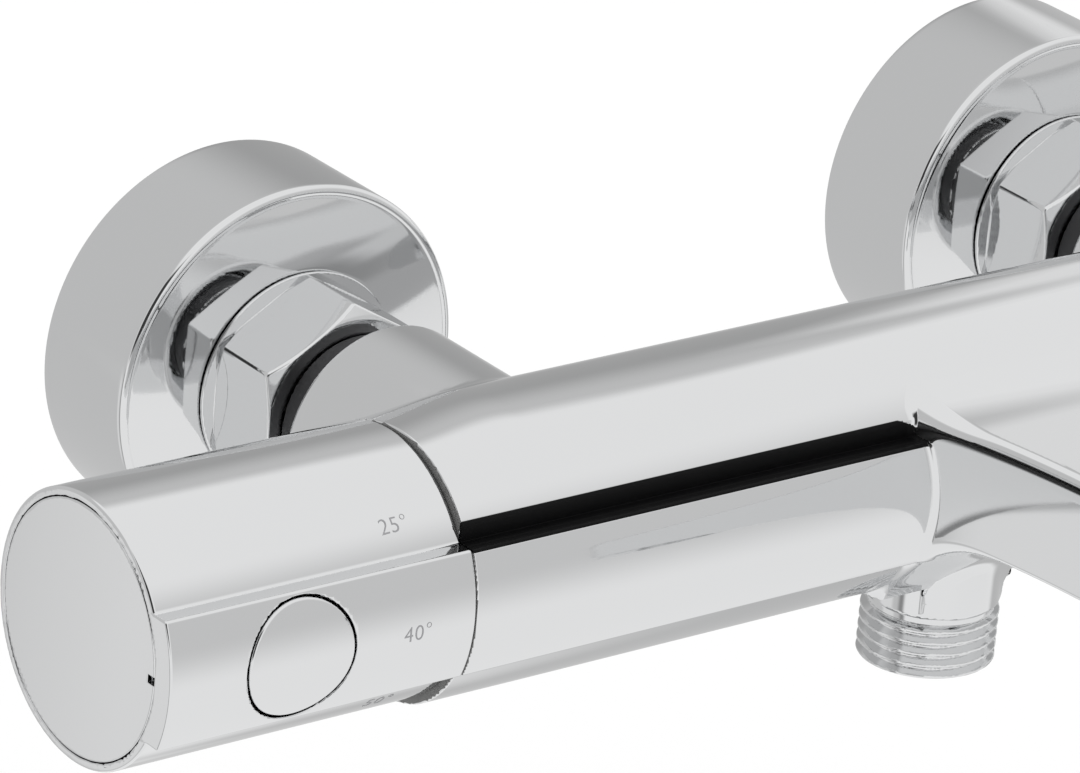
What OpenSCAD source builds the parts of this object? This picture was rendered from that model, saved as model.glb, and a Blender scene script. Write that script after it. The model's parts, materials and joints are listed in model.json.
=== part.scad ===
// Exposed thermostatic bath and shower valve on two wall unions.
// X runs along the barrel, Y towards the wall, Z up.
// Sizes are written from the middle of the barrel's axis, and placed() moves the
// finished valve so that the hot wall thread meets the wall plane at the origin.

/* [Barrel] */
// Distance between the two inlet axes
inlet_gap = 150; // [140:1:160]
// Radius of the barrel
body_r = 21.2; // [20.8:0.1:23]
// Half length of the casting, from its middle to a handle seam
body_half_l = 100.4; // [98:0.2:108]
// Step by which the barrel's ends drop to the handles
body_end_step = 1.0; // [0.4:0.1:1.6]
// Height of the visor and the grip pads over the barrel
visor_rise = 1.3; // [0.8:0.1:2.4]
// Half height of the visor and the grip pads
visor_half_h = 9.7; // [9.2:0.1:10.6]
// Width of the ledge on top of the visor
ledge_w = 2.9; // [2.2:0.1:3.2]
// Thickness of the trim strip on the ledge
strip_t = 0.4; // [0.3:0.1:0.8]

/* [Spout] */
// Height of the spout's flat top over the axis
spout_top_z = 12.6; // [11.5:0.1:13.4]
// Thickness of the spout
spout_t = 17; // [15.5:0.5:18]
// Half width of the spout at its root
spout_root_half = 17; // [15:0.5:19]
// Half width of the spout along its free length
spout_half = 13.3; // [12.6:0.1:14.8]
// Distance from the axis to the place where the spout stops narrowing
spout_neck_y = 50; // [42:1:60]
// Distance from the axis to the aerator
spout_reach = 114; // [90:1:130]
// Radius of the fillet between the barrel and the spout's top
top_fillet_r = 8; // [5:0.5:12]
// Radius of the fillet between the ledge and the spout's side
root_fillet_r = 5; // [3:0.5:7]
// Distance from the axis to the end of the rise under the spout
gusset_y = 36; // [30:1:40]

/* [Wall unions] */
// Distance from the axis to the wall
wall_reach = 80.4; // [80.4:0.2:90]
// Drop from the barrel's axis to the wall pipes
union_offset = 5; // [3:0.5:6]
// Radius of the casting's rear bosses
boss_r = 17; // [16:0.5:19]
// Distance from the axis to the rim of a boss
boss_y = 36.5; // [34:0.5:39]
// Radius of the neck between boss and union nut
neck_r = 12.8; // [12.4:0.1:14.4]
// Length of that neck
neck_l = 6.8; // [5:0.2:8]
// Width across flats of the union nut and the union's collar
nut_af = 30; // [30:0.5:33]
// Length of the union nut with its flange
nut_l = 13.9; // [13:0.1:15]
// Thickness of the nut's flange
nut_flange_l = 0.5; // [0.4:0.1:1]
// Gap between a union nut and the escutcheon's face
nut_gap = 0.3; // [0.2:0.1:0.6]
// Length of the union's hexagon collar behind that face
collar_l = 8; // [6:0.5:9]
// Radius of an escutcheon
escutcheon_r = 30; // [28:0.5:35]
// Slope of an escutcheon's domed face, from the nut back to the rim
face_rise = 2; // [1:0.1:2.4]
// Thickness of an escutcheon's sheet
escutcheon_t = 1.2; // [1:0.1:1.6]
// Crest radius of the half inch threads
half_thread_r = 10.48; // [10.3:0.01:10.6]
// Pitch of the half inch threads
half_pitch = 1.814; // [1.6:0.002:2]
// Crest radius of the three quarter inch union thread
union_thread_r = 13.22; // [13:0.01:13.4]
// Length of the thread that goes into the wall
wall_thread_l = 14; // [12:0.5:18]

/* [Hose outlet] */
// Radius of the neck over the hose thread
outlet_neck_r = 10.3; // [10.2:0.1:12]
// Distance of the hose outlet in front of the axis
outlet_y = 4.5; // [3.5:0.1:5.5]
// Height of the neck's end under the axis
outlet_neck_z = 24.8; // [24.4:0.2:28]
// Length of the hose nipple under the neck
nipple_l = 9.8; // [8:0.2:12]

/* [Handles] */
// Radius of a handle
handle_r = 20; // [19.6:0.1:20.6]
// Length of a handle
handle_l = 51; // [49:0.5:58]
// Gap between a handle and the barrel
seam_gap = 0.3; // [0.2:0.1:0.6]
// Wall of a handle shell
shell_wall = 2.5; // [2.3:0.1:2.6]
// Thickness of an end cap
cap_t = 2; // [1.5:0.1:3]
// Width of the rim around an end cap
cap_rim = 1.3; // [1:0.1:1.6]
// Distance from a handle's end to the middle of its button
button_inset = 21.9; // [20:0.1:24]
// Radius of a button
button_r = 8.8; // [8:0.1:9]
// Gap around a button
button_gap = 0.3; // [0.2:0.05:0.4]
// Stroke of a button
button_stroke = 2; // [1:0.1:2.4]
// Turn of the temperature handle from its stop mark to either end
temperature_turn = 43; // [35:1:60]
// Turn of the flow handle from closed to either outlet
flow_turn = 90; // [70:1:100]

/* [Cartridges] */
// Outer radius of both cartridge housings
cartridge_r = 14.4; // [14:0.1:14.6]
// Depth of the thermostat chamber from the barrel's end
mixer_depth = 50; // [46:0.5:52]
// Depth of the headwork chamber from the barrel's end
valve_depth = 48; // [46:0.5:50]
// Radius of the thermostat's piston
piston_r = 8.95; // [8.5:0.05:9.2]
// Travel of the piston in one whole turn of the temperature handle
piston_lead = 5; // [3:0.5:8]
// Radius of a spindle where it turns in its housing
journal_r = 5; // [4.6:0.1:5.4]
// Radius of a spindle's splines
spline_r = 4; // [3.8:0.1:4.4]
// Radius of the ceramic discs
disc_r = 12; // [11.6:0.1:12.2]
// Radius of the circle on which the disc ports lie
port_circle_r = 7.5; // [7.2:0.1:7.6]
// Radius of the two outlet ports
port_r = 3.2; // [2.8:0.1:3.3]

/* [Hidden] */

// Facets of round shapes, overrun of cuts, clearances
$fn = 96;
cut = 1;
fit = 0.1;
running = 0.05;
slack = 0.3;

// Colours
chrome = [0.82, 0.83, 0.85];
brass = [0.78, 0.65, 0.35];
plastic_black = [0.05, 0.05, 0.06];
plastic_white = [0.88, 0.88, 0.86];
rubber = [0.1, 0.1, 0.1];
steel = [0.65, 0.66, 0.68];
ceramic = [0.9, 0.88, 0.82];

// Visor and ledge
visor_r = body_r + visor_rise;
visor_edge_y = sqrt(visor_r * visor_r - visor_half_h * visor_half_h);
ledge_y = visor_edge_y - ledge_w;
seam_r = body_r - body_end_step;
strip_end_x = spout_root_half + root_fillet_r / 3;

// Spout
spout_bottom_z = spout_top_z - spout_t;
spout_root_in = 5;
spout_root_y = ledge_y - spout_root_in;
spout_bore_r = 4.8;
spout_bore_z = 4.4;
curve_steps = 12;

// Inlet seats, nuts and unions, all as distances from the axis
inlet_x = inlet_gap / 2;
inlet_bore_r = 7;
seat_r = 10.8;
seat_bore_r = 8;
seat_engage = 6.3;
seat_inner_y = boss_y - seat_engage;
nut_y0 = boss_y + neck_l + slack;
nut_y1 = nut_y0 + nut_l;
nut_lip_l = 3.4;
nut_corner_r = nut_af / sqrt(3);
seat_flange_y = nut_y0 + nut_lip_l;
seat_flange_l = 2.6;
seat_flange_r = 11.9;
washer_y = seat_flange_y + seat_flange_l;
washer_l = 2;
union_y0 = washer_y + washer_l;
union_bore_r = 8;
face_y = nut_y1 + nut_gap;
collar_y0 = face_y + escutcheon_t + slack;
collar_y1 = collar_y0 + collar_l;
shoulder_r = nut_corner_r + fit;
shoulder_l = 4.5;
union_end_r = 13.4;
hex_chamfer = 1.3;
boss_bevel = 0.5;
union_pitch = 1.814;
thread_depth = 1.16;
crest_share = 0.3;
flank_share = 0.25;
hot_bore_y = 10;
cold_bore_y = 16.6;

// Escutcheon
rim_r = 1;
rim_y = face_y + face_rise;
face_end_r = escutcheon_r - rim_r;
face_hole_r = union_thread_r + slack;

// Check valves
check_r = seat_bore_r - fit;
check_wall = 1.2;
check_l = 11;
check_seat_l = 1.5;
check_seat_r = 4.6;
poppet_r = 5.6;
poppet_t = 1.4;
poppet_stem_r = 1.2;
poppet_stem_l = 8;
check_hub_w = 7.5;
check_hub_l = 1.5;
check_hub_r = 2.6;
check_arm_w = 1.4;
check_coil_r = 3.2;
check_wire_r = 0.3;
check_turns = 3;
check_y = boss_y + neck_l + check_seat_l;

// Water ways inside the casting
cross_r = 2.4;
cross_y = 18;
mixed_port_r = 4;
port_angles = [150, 210];

// Cartridge housings, with distances along the barrel from its middle
mixer_floor_u = body_half_l - mixer_depth;
valve_floor_u = body_half_l - valve_depth;
chamber_r = cartridge_r + 2 * fit;
retainer_l = 5.5;
retainer_wall = 1.1;
retainer_r = cartridge_r + retainer_wall;
retainer_bore_r = retainer_r + fit;
flange_l = 2;
retainer_u = body_half_l - retainer_l - slack - 2 * fit;
flange_u = retainer_u - flange_l;
neck_bush_r = 9;
neck_wall_l = 8;
neck_wall_u = flange_u - neck_wall_l;
ring_r = 0.9;
ring_facets = 24;
ring_groove_l = 2;
ring_inset = 1.5;
housing_floor_l = 4;
floor_hole_r = 6;
floor_u = mixer_floor_u + housing_floor_l;
return_l = 6;
piston_bore_r = piston_r + running;
piston_l = 12;
piston_u = floor_u + return_l;
port_window_w = 9;
cold_port_l = 4;
cold_port_inset = 2.5;
cold_port_u = floor_u + cold_port_inset;
cross_end_u = cold_port_u + cold_port_l / 2;
hot_port_l = 6.5;
hot_port_lap = 1.5;
hot_port_u = piston_u + piston_l - hot_port_lap;
piston_inner_r = 6.6;
piston_web_l = 2.2;
wax_r = 4.5;
wax_l = 16;
wax_tip_r = 3;
wax_tip_l = 1.7;
wax_inset = 2;
wax_u = floor_u + wax_inset;
piston_travel = piston_lead * temperature_turn / 360;
return_coil_r = 7.4;
return_wire_r = 0.6;
return_turns = 3;
spindle_collar_r = 7;
spindle_collar_l = 2.4;
spindle_screw_r = 4;
spline_teeth = 20;
spline_depth = 0.4;
spline_end_gap = 0.3;

// Headwork
gasket_l = 1;
disc_l = 3;
disc_bore_r = disc_r + 2 * fit;
drive_plate_r = 11.4;
drive_plate_l = 2.8;
recess_l = 1.4;
recess_half_w = 3.4;
recess_half_turn = 47.5;
recess_lap_turn = 0.1;
fixed_disc_u = valve_floor_u + gasket_l;
turning_disc_u = fixed_disc_u + disc_l + running;
plate_u = turning_disc_u + disc_l;
shaft_u = plate_u + drive_plate_l;

// Seal grooves of the two housings
mixer_grooves = [
    floor_u - ring_groove_l, (cold_port_u + cold_port_l + hot_port_u - ring_groove_l) / 2,
    neck_wall_u + ring_inset
];
valve_grooves = [shaft_u + 2 * ring_groove_l, neck_wall_u + ring_inset];

// Stop rings
stop_base_l = 1;
stop_l = 3.4;
stop_wall = 5.4;
stop_lug_w = 1.4;
rib_l = 1.8;
rib_half_turn = 5;
stop_gap_turn = 0.3;

// Handles
handle_u0 = body_half_l + seam_gap;
handle_u1 = handle_u0 + handle_l;
shell_bore_r = handle_r - shell_wall;
stop_base_r = shell_bore_r - slack - 2 * fit;
stop_body_r = stop_base_r - stop_lug_w;
stop_hole_r = stop_body_r - stop_wall;
rib_inner_r = stop_body_r + slack;
shell_bevel = 0.5;
cap_r = handle_r - cap_rim;
cap_u = handle_u1 - cap_t;
notch_w = 1.2;
notch_l = 1.6;
hub_r = shell_bore_r - fit;
hub_web_l = 3;
hub_wall = 2;
hub_web_depth = 17.2;
hub_web_u = handle_u0 + hub_web_depth;
hub_sleeve_r = 7;
hub_sleeve_l = 12;
button_u = handle_u1 - button_inset;
button_hole_r = button_r + button_gap;
button_t = 3.5;
button_back_y = visor_r - button_t;
button_wire_r = 0.45;
button_turns = 4;
button_spring_solid = 2 * button_wire_r * (button_turns + 1);
guide_y = button_back_y - button_stroke - button_spring_solid - slack - 2 * fit;
guide_t = 2.6;
guide_half_w = 9.8;
guide_l = 20;
stem_r = 3;
stem_catch_r = 3.6;
stem_catch_l = 1.1;
button_coil_r = 4.6;
screw_head_r = 3.6;
screw_head_l = 2.6;
screw_r = 2;
screw_l = 9;
spindle_end_u = hub_web_u - spline_end_gap;

// Hose outlet
nipple_bore_r = 8;
nipple_shank_r = 9.1;
nipple_shank_l = 5;
nipple_lip_l = 0.9;
nipple_lip_r = 6.4;
nipple_groove_l = 0.6;
nipple_groove_r = 9.6;
outlet_neck_bevel = 0.5;
outlet_drop_r = 4.5;
outlet_bevel = 0.6;

// Aerator
aerator_thread_r = 9.3;
aerator_thread_l = 6;
aerator_flange_r = 11.4;
aerator_flange_l = 3.5;
aerator_bore_r = 8.2;
aerator_lip_r = 7.4;
aerator_lip_l = 1.5;
insert_r = aerator_bore_r - fit;
insert_hole_r = 0.7;
insert_ring_shares = [0.37, 0.69];
insert_holes = [8, 14];
washer_hole_r = 6.8;
aerator_washer_l = 1.5;
aerator_chamber_l = 4;
aerator_seat_l = aerator_thread_l + aerator_washer_l;

// Shapes along an axis

module placed() {
    translate([inlet_x, -wall_reach, union_offset]) children();
}

module rod_x(x0, x1, r) {
    translate([x0, 0, 0]) rotate([0, 90, 0]) cylinder(h = x1 - x0, r = r);
}

module rod_y(y0, y1, r) {
    translate([0, y0, 0]) rotate([-90, 0, 0]) cylinder(h = y1 - y0, r = r);
}

module rod_z(z0, z1, r) {
    translate([0, 0, z0]) cylinder(h = z1 - z0, r = r);
}

module ring_x(x0, x1, r_out, r_in) {
    difference() {
        rod_x(x0, x1, r_out);
        rod_x(x0 - cut, x1 + cut, r_in);
    }
}

module ring_y(y0, y1, r_out, r_in) {
    difference() {
        rod_y(y0, y1, r_out);
        rod_y(y0 - cut, y1 + cut, r_in);
    }
}

module ring_z(z0, z1, r_out, r_in) {
    difference() {
        rod_z(z0, z1, r_out);
        rod_z(z0 - cut, z1 + cut, r_in);
    }
}

// A flat outline in Y and Z, pushed along X
module prism_x(x0, x1) {
    translate([x0, 0, 0]) rotate([90, 0, 90]) linear_extrude(x1 - x0) children();
}

// A profile of radius and distance, turned about X or Y
module turned_x() {
    rotate([0, 90, 0]) rotate_extrude() children();
}

module turned_y() {
    rotate([-90, 0, 0]) rotate_extrude() children();
}

// Wedge of a disc about X; the angle runs from +Y to +Z
module sector_x(x0, x1, r, mid_turn, half_turn) {
    intersection() {
        rod_x(x0, x1, r);
        prism_x(x0, x1) rotate(mid_turn) polygon([
            [0, 0],
            [2 * r * cos(half_turn), 2 * r * sin(half_turn)],
            [2 * r, 0],
            [2 * r * cos(half_turn), -2 * r * sin(half_turn)]
        ]);
    }
}

// The handle and cartridge shapes are drawn on the +X side
module on_side(side) {
    if (side < 0) mirror([1, 0, 0]) children();
    else children();
}

function arc(centre, r, from, to, steps) = [
    for (i = [0 : steps])
        let (turn = from + (to - from) * i / steps)
        centre + r * [cos(turn), sin(turn)]
];

// Profile of a thread's rings, as radius and distance
function thread_profile(start, length, crest_r, pitch) = let (rings = floor(length / pitch)) [
    for (i = [0 : rings - 1], p = [
        [-thread_depth, 0],
        [0, flank_share * pitch],
        [0, (flank_share + crest_share) * pitch],
        [-thread_depth, (2 * flank_share + crest_share) * pitch]
    ]) [crest_r + p[0], start + i * pitch + p[1]]
];

module thread_solid(start, length, crest_r, pitch) {
    rotate_extrude() polygon(concat(
        [[0, start]],
        thread_profile(start, length, crest_r, pitch),
        [[crest_r - thread_depth, start + length], [0, start + length]]
    ));
}

// Coil spring along Z from zero
function coil_points(coil_r, wire_r, length, turns, sides, steps) = [
    for (i = [0 : turns * steps], k = [0 : sides - 1])
        let (a = 360 * i / steps, b = 360 * k / sides, r = coil_r + wire_r * cos(b))
        [r * cos(a), r * sin(a), wire_r + (length - 2 * wire_r) * i / (turns * steps) + wire_r * sin(b)]
];

module coil_spring(coil_r, wire_r, length, turns) {
    sides = 6;
    steps = 14;
    rings = turns * steps;
    polyhedron(
        points = coil_points(coil_r, wire_r, length, turns, sides, steps),
        faces = concat(
            [[for (k = [0 : sides - 1]) k]],
            [for (i = [0 : rings - 1], k = [0 : sides - 1], half = [0, 1])
                let (a = i * sides + k, b = i * sides + (k + 1) % sides)
                half == 0 ? [a, a + sides, b] : [b, a + sides, b + sides]],
            [[for (k = [sides - 1 : -1 : 0]) rings * sides + k]]
        ),
        convexity = 10
    );
}

module hex_y(y0, y1, flats) {
    corner_r = flats / sqrt(3);
    inner_r = flats / 2;
    intersection() {
        translate([0, y0, 0]) rotate([-90, 30, 0]) cylinder(h = y1 - y0, r = corner_r, $fn = 6);
        turned_y() polygon([
            [0, y0], [inner_r, y0], [corner_r, y0 + hex_chamfer],
            [corner_r, y1 - hex_chamfer], [inner_r, y1], [0, y1]
        ]);
    }
}

function spline_outline(r) = [
    for (i = [0 : 2 * spline_teeth - 1])
        let (a = 180 * i / spline_teeth, q = i % 2 == 0 ? r : r - spline_depth)
        [q * cos(a), q * sin(a)]
];

// Casting

module barrel() {
    turned_x() polygon([
        [0, -body_half_l], [seam_r, -body_half_l],
        [body_r, -body_half_l + body_end_step], [body_r, body_half_l - body_end_step],
        [seam_r, body_half_l], [0, body_half_l]
    ]);
}

// The raised sector on the front, also used for the grip pads
module front_sector(x0, x1, r) {
    intersection() {
        rod_x(x0, x1, r);
        translate([x0, -r - cut, -visor_half_h]) cube([x1 - x0, r, 2 * visor_half_h]);
    }
}

// Everything in front of and above the ledge's corner, which lies depth deeper for the strip
module ledge_space(depth) {
    translate([-body_half_l - cut, -visor_r - cut, visor_half_h - depth])
        cube([2 * (body_half_l + cut), visor_r + cut - ledge_y + depth, body_r]);
}

function narrowing(t) = spout_root_half - (spout_root_half - spout_half) * (1 - cos(180 * t)) / 2;

// The spout seen from above, on the +X side
function spout_side_points() = let (y0 = -ledge_y - root_fillet_r) concat(
    [[0, -spout_root_y], [spout_root_half + root_fillet_r, -spout_root_y]],
    arc([spout_root_half + root_fillet_r, y0], root_fillet_r, 90, 180, curve_steps),
    [for (i = [1 : curve_steps])
        [narrowing(i / curve_steps), y0 + (-spout_neck_y - y0) * i / curve_steps]],
    [[spout_half, -spout_reach], [0, -spout_reach]]
);

module spout_plan() {
    polygon(spout_side_points());
    mirror([1, 0]) polygon(spout_side_points());
    translate([0, -spout_reach]) circle(r = spout_half);
}

// The spout seen from the side, as Y and Z
module spout_profile() {
    fillet_r = body_r + top_fillet_r;
    fillet_z = spout_top_z + top_fillet_r;
    fillet_y = -sqrt(fillet_r * fillet_r - fillet_z * fillet_z);
    fillet_turn = atan2(fillet_z, fillet_y) - 180;
    rise = spout_bottom_z + visor_half_h;
    run = gusset_y - visor_edge_y;
    gusset_r = (run * run + rise * rise) / (2 * rise);
    gusset_turn = asin(run / gusset_r);
    tip_y = -spout_reach - spout_half - cut;
    polygon(concat(
        [[-spout_root_y, -visor_half_h], [-spout_root_y, spout_top_z]],
        arc([fillet_y, fillet_z], top_fillet_r, fillet_turn, -90, curve_steps),
        [[tip_y, spout_top_z], [tip_y, spout_bottom_z]],
        arc([-gusset_y, spout_bottom_z - gusset_r], gusset_r, 90, 90 - gusset_turn, curve_steps)
    ));
}

module spout_body() {
    half_w = spout_root_half + root_fillet_r + cut;
    intersection() {
        prism_x(-half_w, half_w) spout_profile();
        translate([0, 0, -body_r]) linear_extrude(2 * body_r) spout_plan();
    }
}

module rear_boss() {
    turned_y() polygon([
        [0, 0], [boss_r, 0], [boss_r, boss_y - boss_bevel], [boss_r - boss_bevel, boss_y],
        [neck_r, boss_y], [neck_r, boss_y + neck_l], [0, boss_y + neck_l]
    ]);
}

module outlet_neck() {
    translate([0, -outlet_y, 0]) rotate_extrude() polygon([
        [0, -outlet_neck_z], [outlet_neck_r - outlet_neck_bevel, -outlet_neck_z],
        [outlet_neck_r, -outlet_neck_z + outlet_neck_bevel], [outlet_neck_r, -body_r / 2], [0, -body_r / 2]
    ]);
}

// Bores of one inlet; depth is the distance from the axis to its floor
module inlet_bores(depth) {
    rod_y(depth, boss_y, inlet_bore_r);
    rod_y(seat_inner_y, boss_y + neck_l + cut, seat_r + fit);
}

module port_bore(turn, x0, x1, r) {
    translate([0, port_circle_r * cos(turn), port_circle_r * sin(turn)]) rod_x(x0, x1, r);
}

module water_ways() {
    // Chambers of the two cartridges and the threads of their nuts
    on_side(-1) rod_x(mixer_floor_u, body_half_l + cut, chamber_r);
    rod_x(valve_floor_u, body_half_l + cut, chamber_r);
    rod_x(-body_half_l - cut, -flange_u, retainer_bore_r);
    rod_x(flange_u, body_half_l + cut, retainer_bore_r);
    // Hot inlet, and cold inlet with its cross way to the thermostat
    translate([-inlet_x, 0, 0]) inlet_bores(hot_bore_y);
    translate([inlet_x, 0, 0]) inlet_bores(cold_bore_y);
    translate([0, cross_y, 0]) rod_x(-cross_end_u, inlet_x, cross_r);
    translate([-cross_end_u, 0, 0]) rod_y(hot_bore_y, cross_y, cross_r);
    // Mixed water to the headwork, and on to the spout and the hose
    port_bore(0, -mixer_floor_u - cut, valve_floor_u + cut, mixed_port_r);
    port_bore(port_angles[0], -port_r, valve_floor_u + cut, port_r);
    port_bore(port_angles[1], -port_r, valve_floor_u + cut, port_r);
    translate([0, 0, spout_bore_z]) rod_y(-spout_reach, -outlet_y, spout_bore_r);
    translate([0, -outlet_y, 0])
        rod_z(-outlet_neck_z, port_circle_r * sin(port_angles[1]), outlet_drop_r);
    translate([0, -outlet_y, 0])
        rod_z(-outlet_neck_z - cut, -outlet_neck_z + nipple_shank_l + fit, nipple_shank_r + fit);
    translate([0, -spout_reach, spout_bottom_z]) {
        rod_z(-cut, aerator_seat_l, aerator_thread_r + fit);
        rod_z(0, aerator_seat_l + aerator_chamber_l, washer_hole_r);
    }
}

// Room of the handles, which no part of the casting reaches into
module handle_room() {
    for (side = [-1, 1]) on_side(side) rod_x(body_half_l, handle_u1, visor_r + seam_gap);
}

module body_casting() {
    color(chrome) placed() difference() {
        union() {
            difference() {
                union() {
                    barrel();
                    front_sector(-body_half_l, body_half_l, visor_r);
                }
                ledge_space(strip_t);
            }
            spout_body();
            translate([-inlet_x, 0, 0]) rear_boss();
            translate([inlet_x, 0, 0]) rear_boss();
            outlet_neck();
        }
        water_ways();
        handle_room();
    }
}

module trim_strip(side) {
    color(plastic_black) placed() on_side(side) difference() {
        intersection() {
            union() {
                barrel();
                front_sector(-body_half_l, body_half_l, visor_r);
            }
            ledge_space(strip_t);
            translate([strip_end_x, -visor_r, 0]) cube([body_half_l - strip_end_x, visor_r, body_r]);
        }
        ledge_space(0);
        spout_body();
    }
}

// Inlets and wall unions

module inlet_seat(side) {
    color(brass) placed() translate([side * inlet_x, 0, 0]) difference() {
        union() {
            rod_y(seat_inner_y + fit, washer_y, seat_r);
            rod_y(seat_flange_y, washer_y, seat_flange_r);
        }
        rod_y(seat_inner_y - cut, washer_y + cut, seat_bore_r);
    }
}

module union_nut(side) {
    color(chrome) placed() translate([side * inlet_x, 0, 0]) difference() {
        union() {
            hex_y(nut_y0, nut_y1, nut_af);
            rod_y(nut_y1 - nut_flange_l, nut_y1, nut_corner_r);
        }
        rod_y(nut_y0 - cut, nut_y1, seat_r + fit);
        rod_y(seat_flange_y, nut_y1 + cut, union_thread_r + fit);
    }
}

module union_washers() {
    color(rubber) placed() for (side = [-1, 1]) {
        translate([side * inlet_x, 0, 0]) ring_y(washer_y, union_y0, seat_flange_r, seat_bore_r);
    }
}

module wall_union(side) {
    thread_y = wall_reach - 2 * union_pitch;
    thread_l = wall_thread_l + 2 * union_pitch;
    color(chrome) placed() translate([side * inlet_x, 0, 0]) difference() {
        union() {
            rotate([-90, 0, 0]) thread_solid(union_y0, collar_y0 - union_y0, union_thread_r, union_pitch);
            rod_y(union_y0, collar_y1, union_thread_r - thread_depth);
            hex_y(collar_y0, collar_y1, nut_af);
            rod_y(collar_y1 - hex_chamfer, collar_y1 + shoulder_l, shoulder_r - fit / 2);
            translate([0, 0, -union_offset]) {
                rod_y(collar_y1, thread_y, union_end_r - thread_depth);
                rod_y(collar_y1, thread_y + thread_l, half_thread_r - thread_depth);
                rotate([-90, 0, 0]) thread_solid(thread_y, thread_l, half_thread_r, half_pitch);
            }
        }
        rod_y(union_y0 - cut, collar_y1 + shoulder_l / 2, union_bore_r);
        translate([0, 0, -union_offset])
            rod_y(collar_y1 + shoulder_l / 2 - union_bore_r / 2, thread_y + thread_l + cut, union_bore_r);
    }
}

module escutcheon(side) {
    function face_r(i) = nut_corner_r + (face_end_r - nut_corner_r) * i / curve_steps;
    function domed(i) = face_y + face_rise * (pow(face_r(i), 2) - pow(nut_corner_r, 2))
        / (pow(face_end_r, 2) - pow(nut_corner_r, 2));
    color(chrome) placed() translate([side * inlet_x, 0, 0]) turned_y() polygon(concat(
        [[escutcheon_r - escutcheon_t, wall_reach], [escutcheon_r, wall_reach]],
        arc([face_end_r, rim_y + rim_r], rim_r, 0, -90, curve_steps / 2),
        [for (i = [curve_steps - 1 : -1 : 0]) [face_r(i), domed(i)]],
        [[face_hole_r, face_y], [face_hole_r, face_y + escutcheon_t]],
        [for (i = [0 : curve_steps - 3]) [face_r(i), domed(i) + escutcheon_t]],
        [[escutcheon_r - escutcheon_t, rim_y + 3 * rim_r]]
    ));
}

// Check valves, drawn along Z with the water flowing up

module check_housing() {
    arm_start = (check_hub_r + poppet_stem_r) / 2;
    difference() {
        union() {
            ring_z(0, check_l, check_r, check_r - check_wall);
            ring_z(0, check_seat_l, check_r, check_seat_r);
            rod_z(check_hub_w, check_hub_w + check_hub_l, check_hub_r);
            for (turn = [0, 120, 240]) {
                rotate(turn) translate([arm_start, -check_arm_w / 2, check_hub_w])
                    cube([check_r - check_wall / 2 - arm_start, check_arm_w, check_hub_l]);
            }
        }
        rod_z(0, check_l, poppet_stem_r + running);
    }
}

module check_poppet() {
    rod_z(check_seat_l + running, check_seat_l + poppet_t, poppet_r);
    rod_z(check_seat_l + running, check_seat_l + poppet_stem_l, poppet_stem_r);
}

module check_spring() {
    start = check_seat_l + poppet_t;
    translate([0, 0, start]) coil_spring(check_coil_r, check_wire_r, check_hub_w - start, check_turns);
}

// Water enters from the wall, so an inlet's check valve points to the front
module at_inlet_check(side) {
    placed() translate([side * inlet_x, check_y, 0]) rotate([90, 0, 0]) children();
}

module at_outlet_check() {
    placed() translate([0, -outlet_y, -outlet_neck_z + nipple_shank_l - nipple_lip_l])
        rotate([180, 0, 0]) children();
}

module inlet_check_housings() {
    color(plastic_white) for (side = [-1, 1]) at_inlet_check(side) check_housing();
}

module inlet_check_poppet(side) {
    color(plastic_black) at_inlet_check(side) check_poppet();
}

module inlet_check_spring(side) {
    color(steel) at_inlet_check(side) check_spring();
}

// Cartridge parts, drawn on the +X side

// Flange, neck and outer wall that both housings share
module housing_blank(u0) {
    rod_x(u0, retainer_u, cartridge_r);
    rod_x(flange_u, retainer_u, retainer_r);
    rod_x(flange_u, body_half_l - fit, neck_bush_r);
}

module ring_groove(u) {
    ring_x(u, u + ring_groove_l, cartridge_r + cut, cartridge_r + fit - 2 * ring_r);
}

module seal_ring(u) {
    seal_r = cartridge_r + 2 * fit - ring_r - running;
    turned_x() translate([seal_r, u + ring_groove_l / 2]) circle(r = ring_r, $fn = ring_facets);
}

module retaining_nut() {
    difference() {
        ring_x(retainer_u, body_half_l - fit, retainer_r, neck_bush_r + 2 * fit);
        for (turn = [0, 180]) {
            rotate([turn, 0, 0]) translate([body_half_l - retainer_l / 2, neck_bush_r, -notch_w])
                cube([retainer_l, retainer_r, 2 * notch_w]);
        }
    }
}

module splined_end() {
    prism_x(body_half_l - fit - cut, spindle_end_u) polygon(spline_outline(spline_r));
}

module screw_bore() {
    rod_x(spindle_end_u - screw_l, spindle_end_u + cut, screw_r + running);
}

module port_windows(u, length) {
    for (turn = [0 : 90 : 270]) {
        rotate([turn, 0, 0]) translate([u, 0, -port_window_w / 2])
            cube([length, cartridge_r + cut, port_window_w]);
    }
}

module thermostat_housing() {
    color(plastic_white) placed() on_side(-1) difference() {
        housing_blank(mixer_floor_u + slack);
        rod_x(mixer_floor_u - cut, mixer_floor_u + housing_floor_l + cut, floor_hole_r);
        rod_x(mixer_floor_u + housing_floor_l, neck_wall_u, piston_bore_r);
        rod_x(neck_wall_u - cut, body_half_l + cut, journal_r + running);
        port_windows(cold_port_u, cold_port_l);
        port_windows(hot_port_u, hot_port_l);
        for (u = mixer_grooves) ring_groove(u);
    }
}

module thermostat_retaining_nut() {
    color(brass) placed() on_side(-1) retaining_nut();
}

module thermostat_o_rings() {
    color(rubber) placed() on_side(-1) for (u = mixer_grooves) seal_ring(u);
}

module thermostat_spindle() {
    screw_u = wax_u + wax_l + wax_tip_l + piston_travel + slack;
    color(brass) placed() on_side(-1) difference() {
        union() {
            rod_x(screw_u, neck_wall_u, spindle_screw_r);
            rod_x(neck_wall_u - spindle_collar_l, neck_wall_u - running, spindle_collar_r);
            rod_x(neck_wall_u - spindle_collar_l, body_half_l - fit, journal_r);
            splined_end();
        }
        screw_bore();
    }
}

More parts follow.
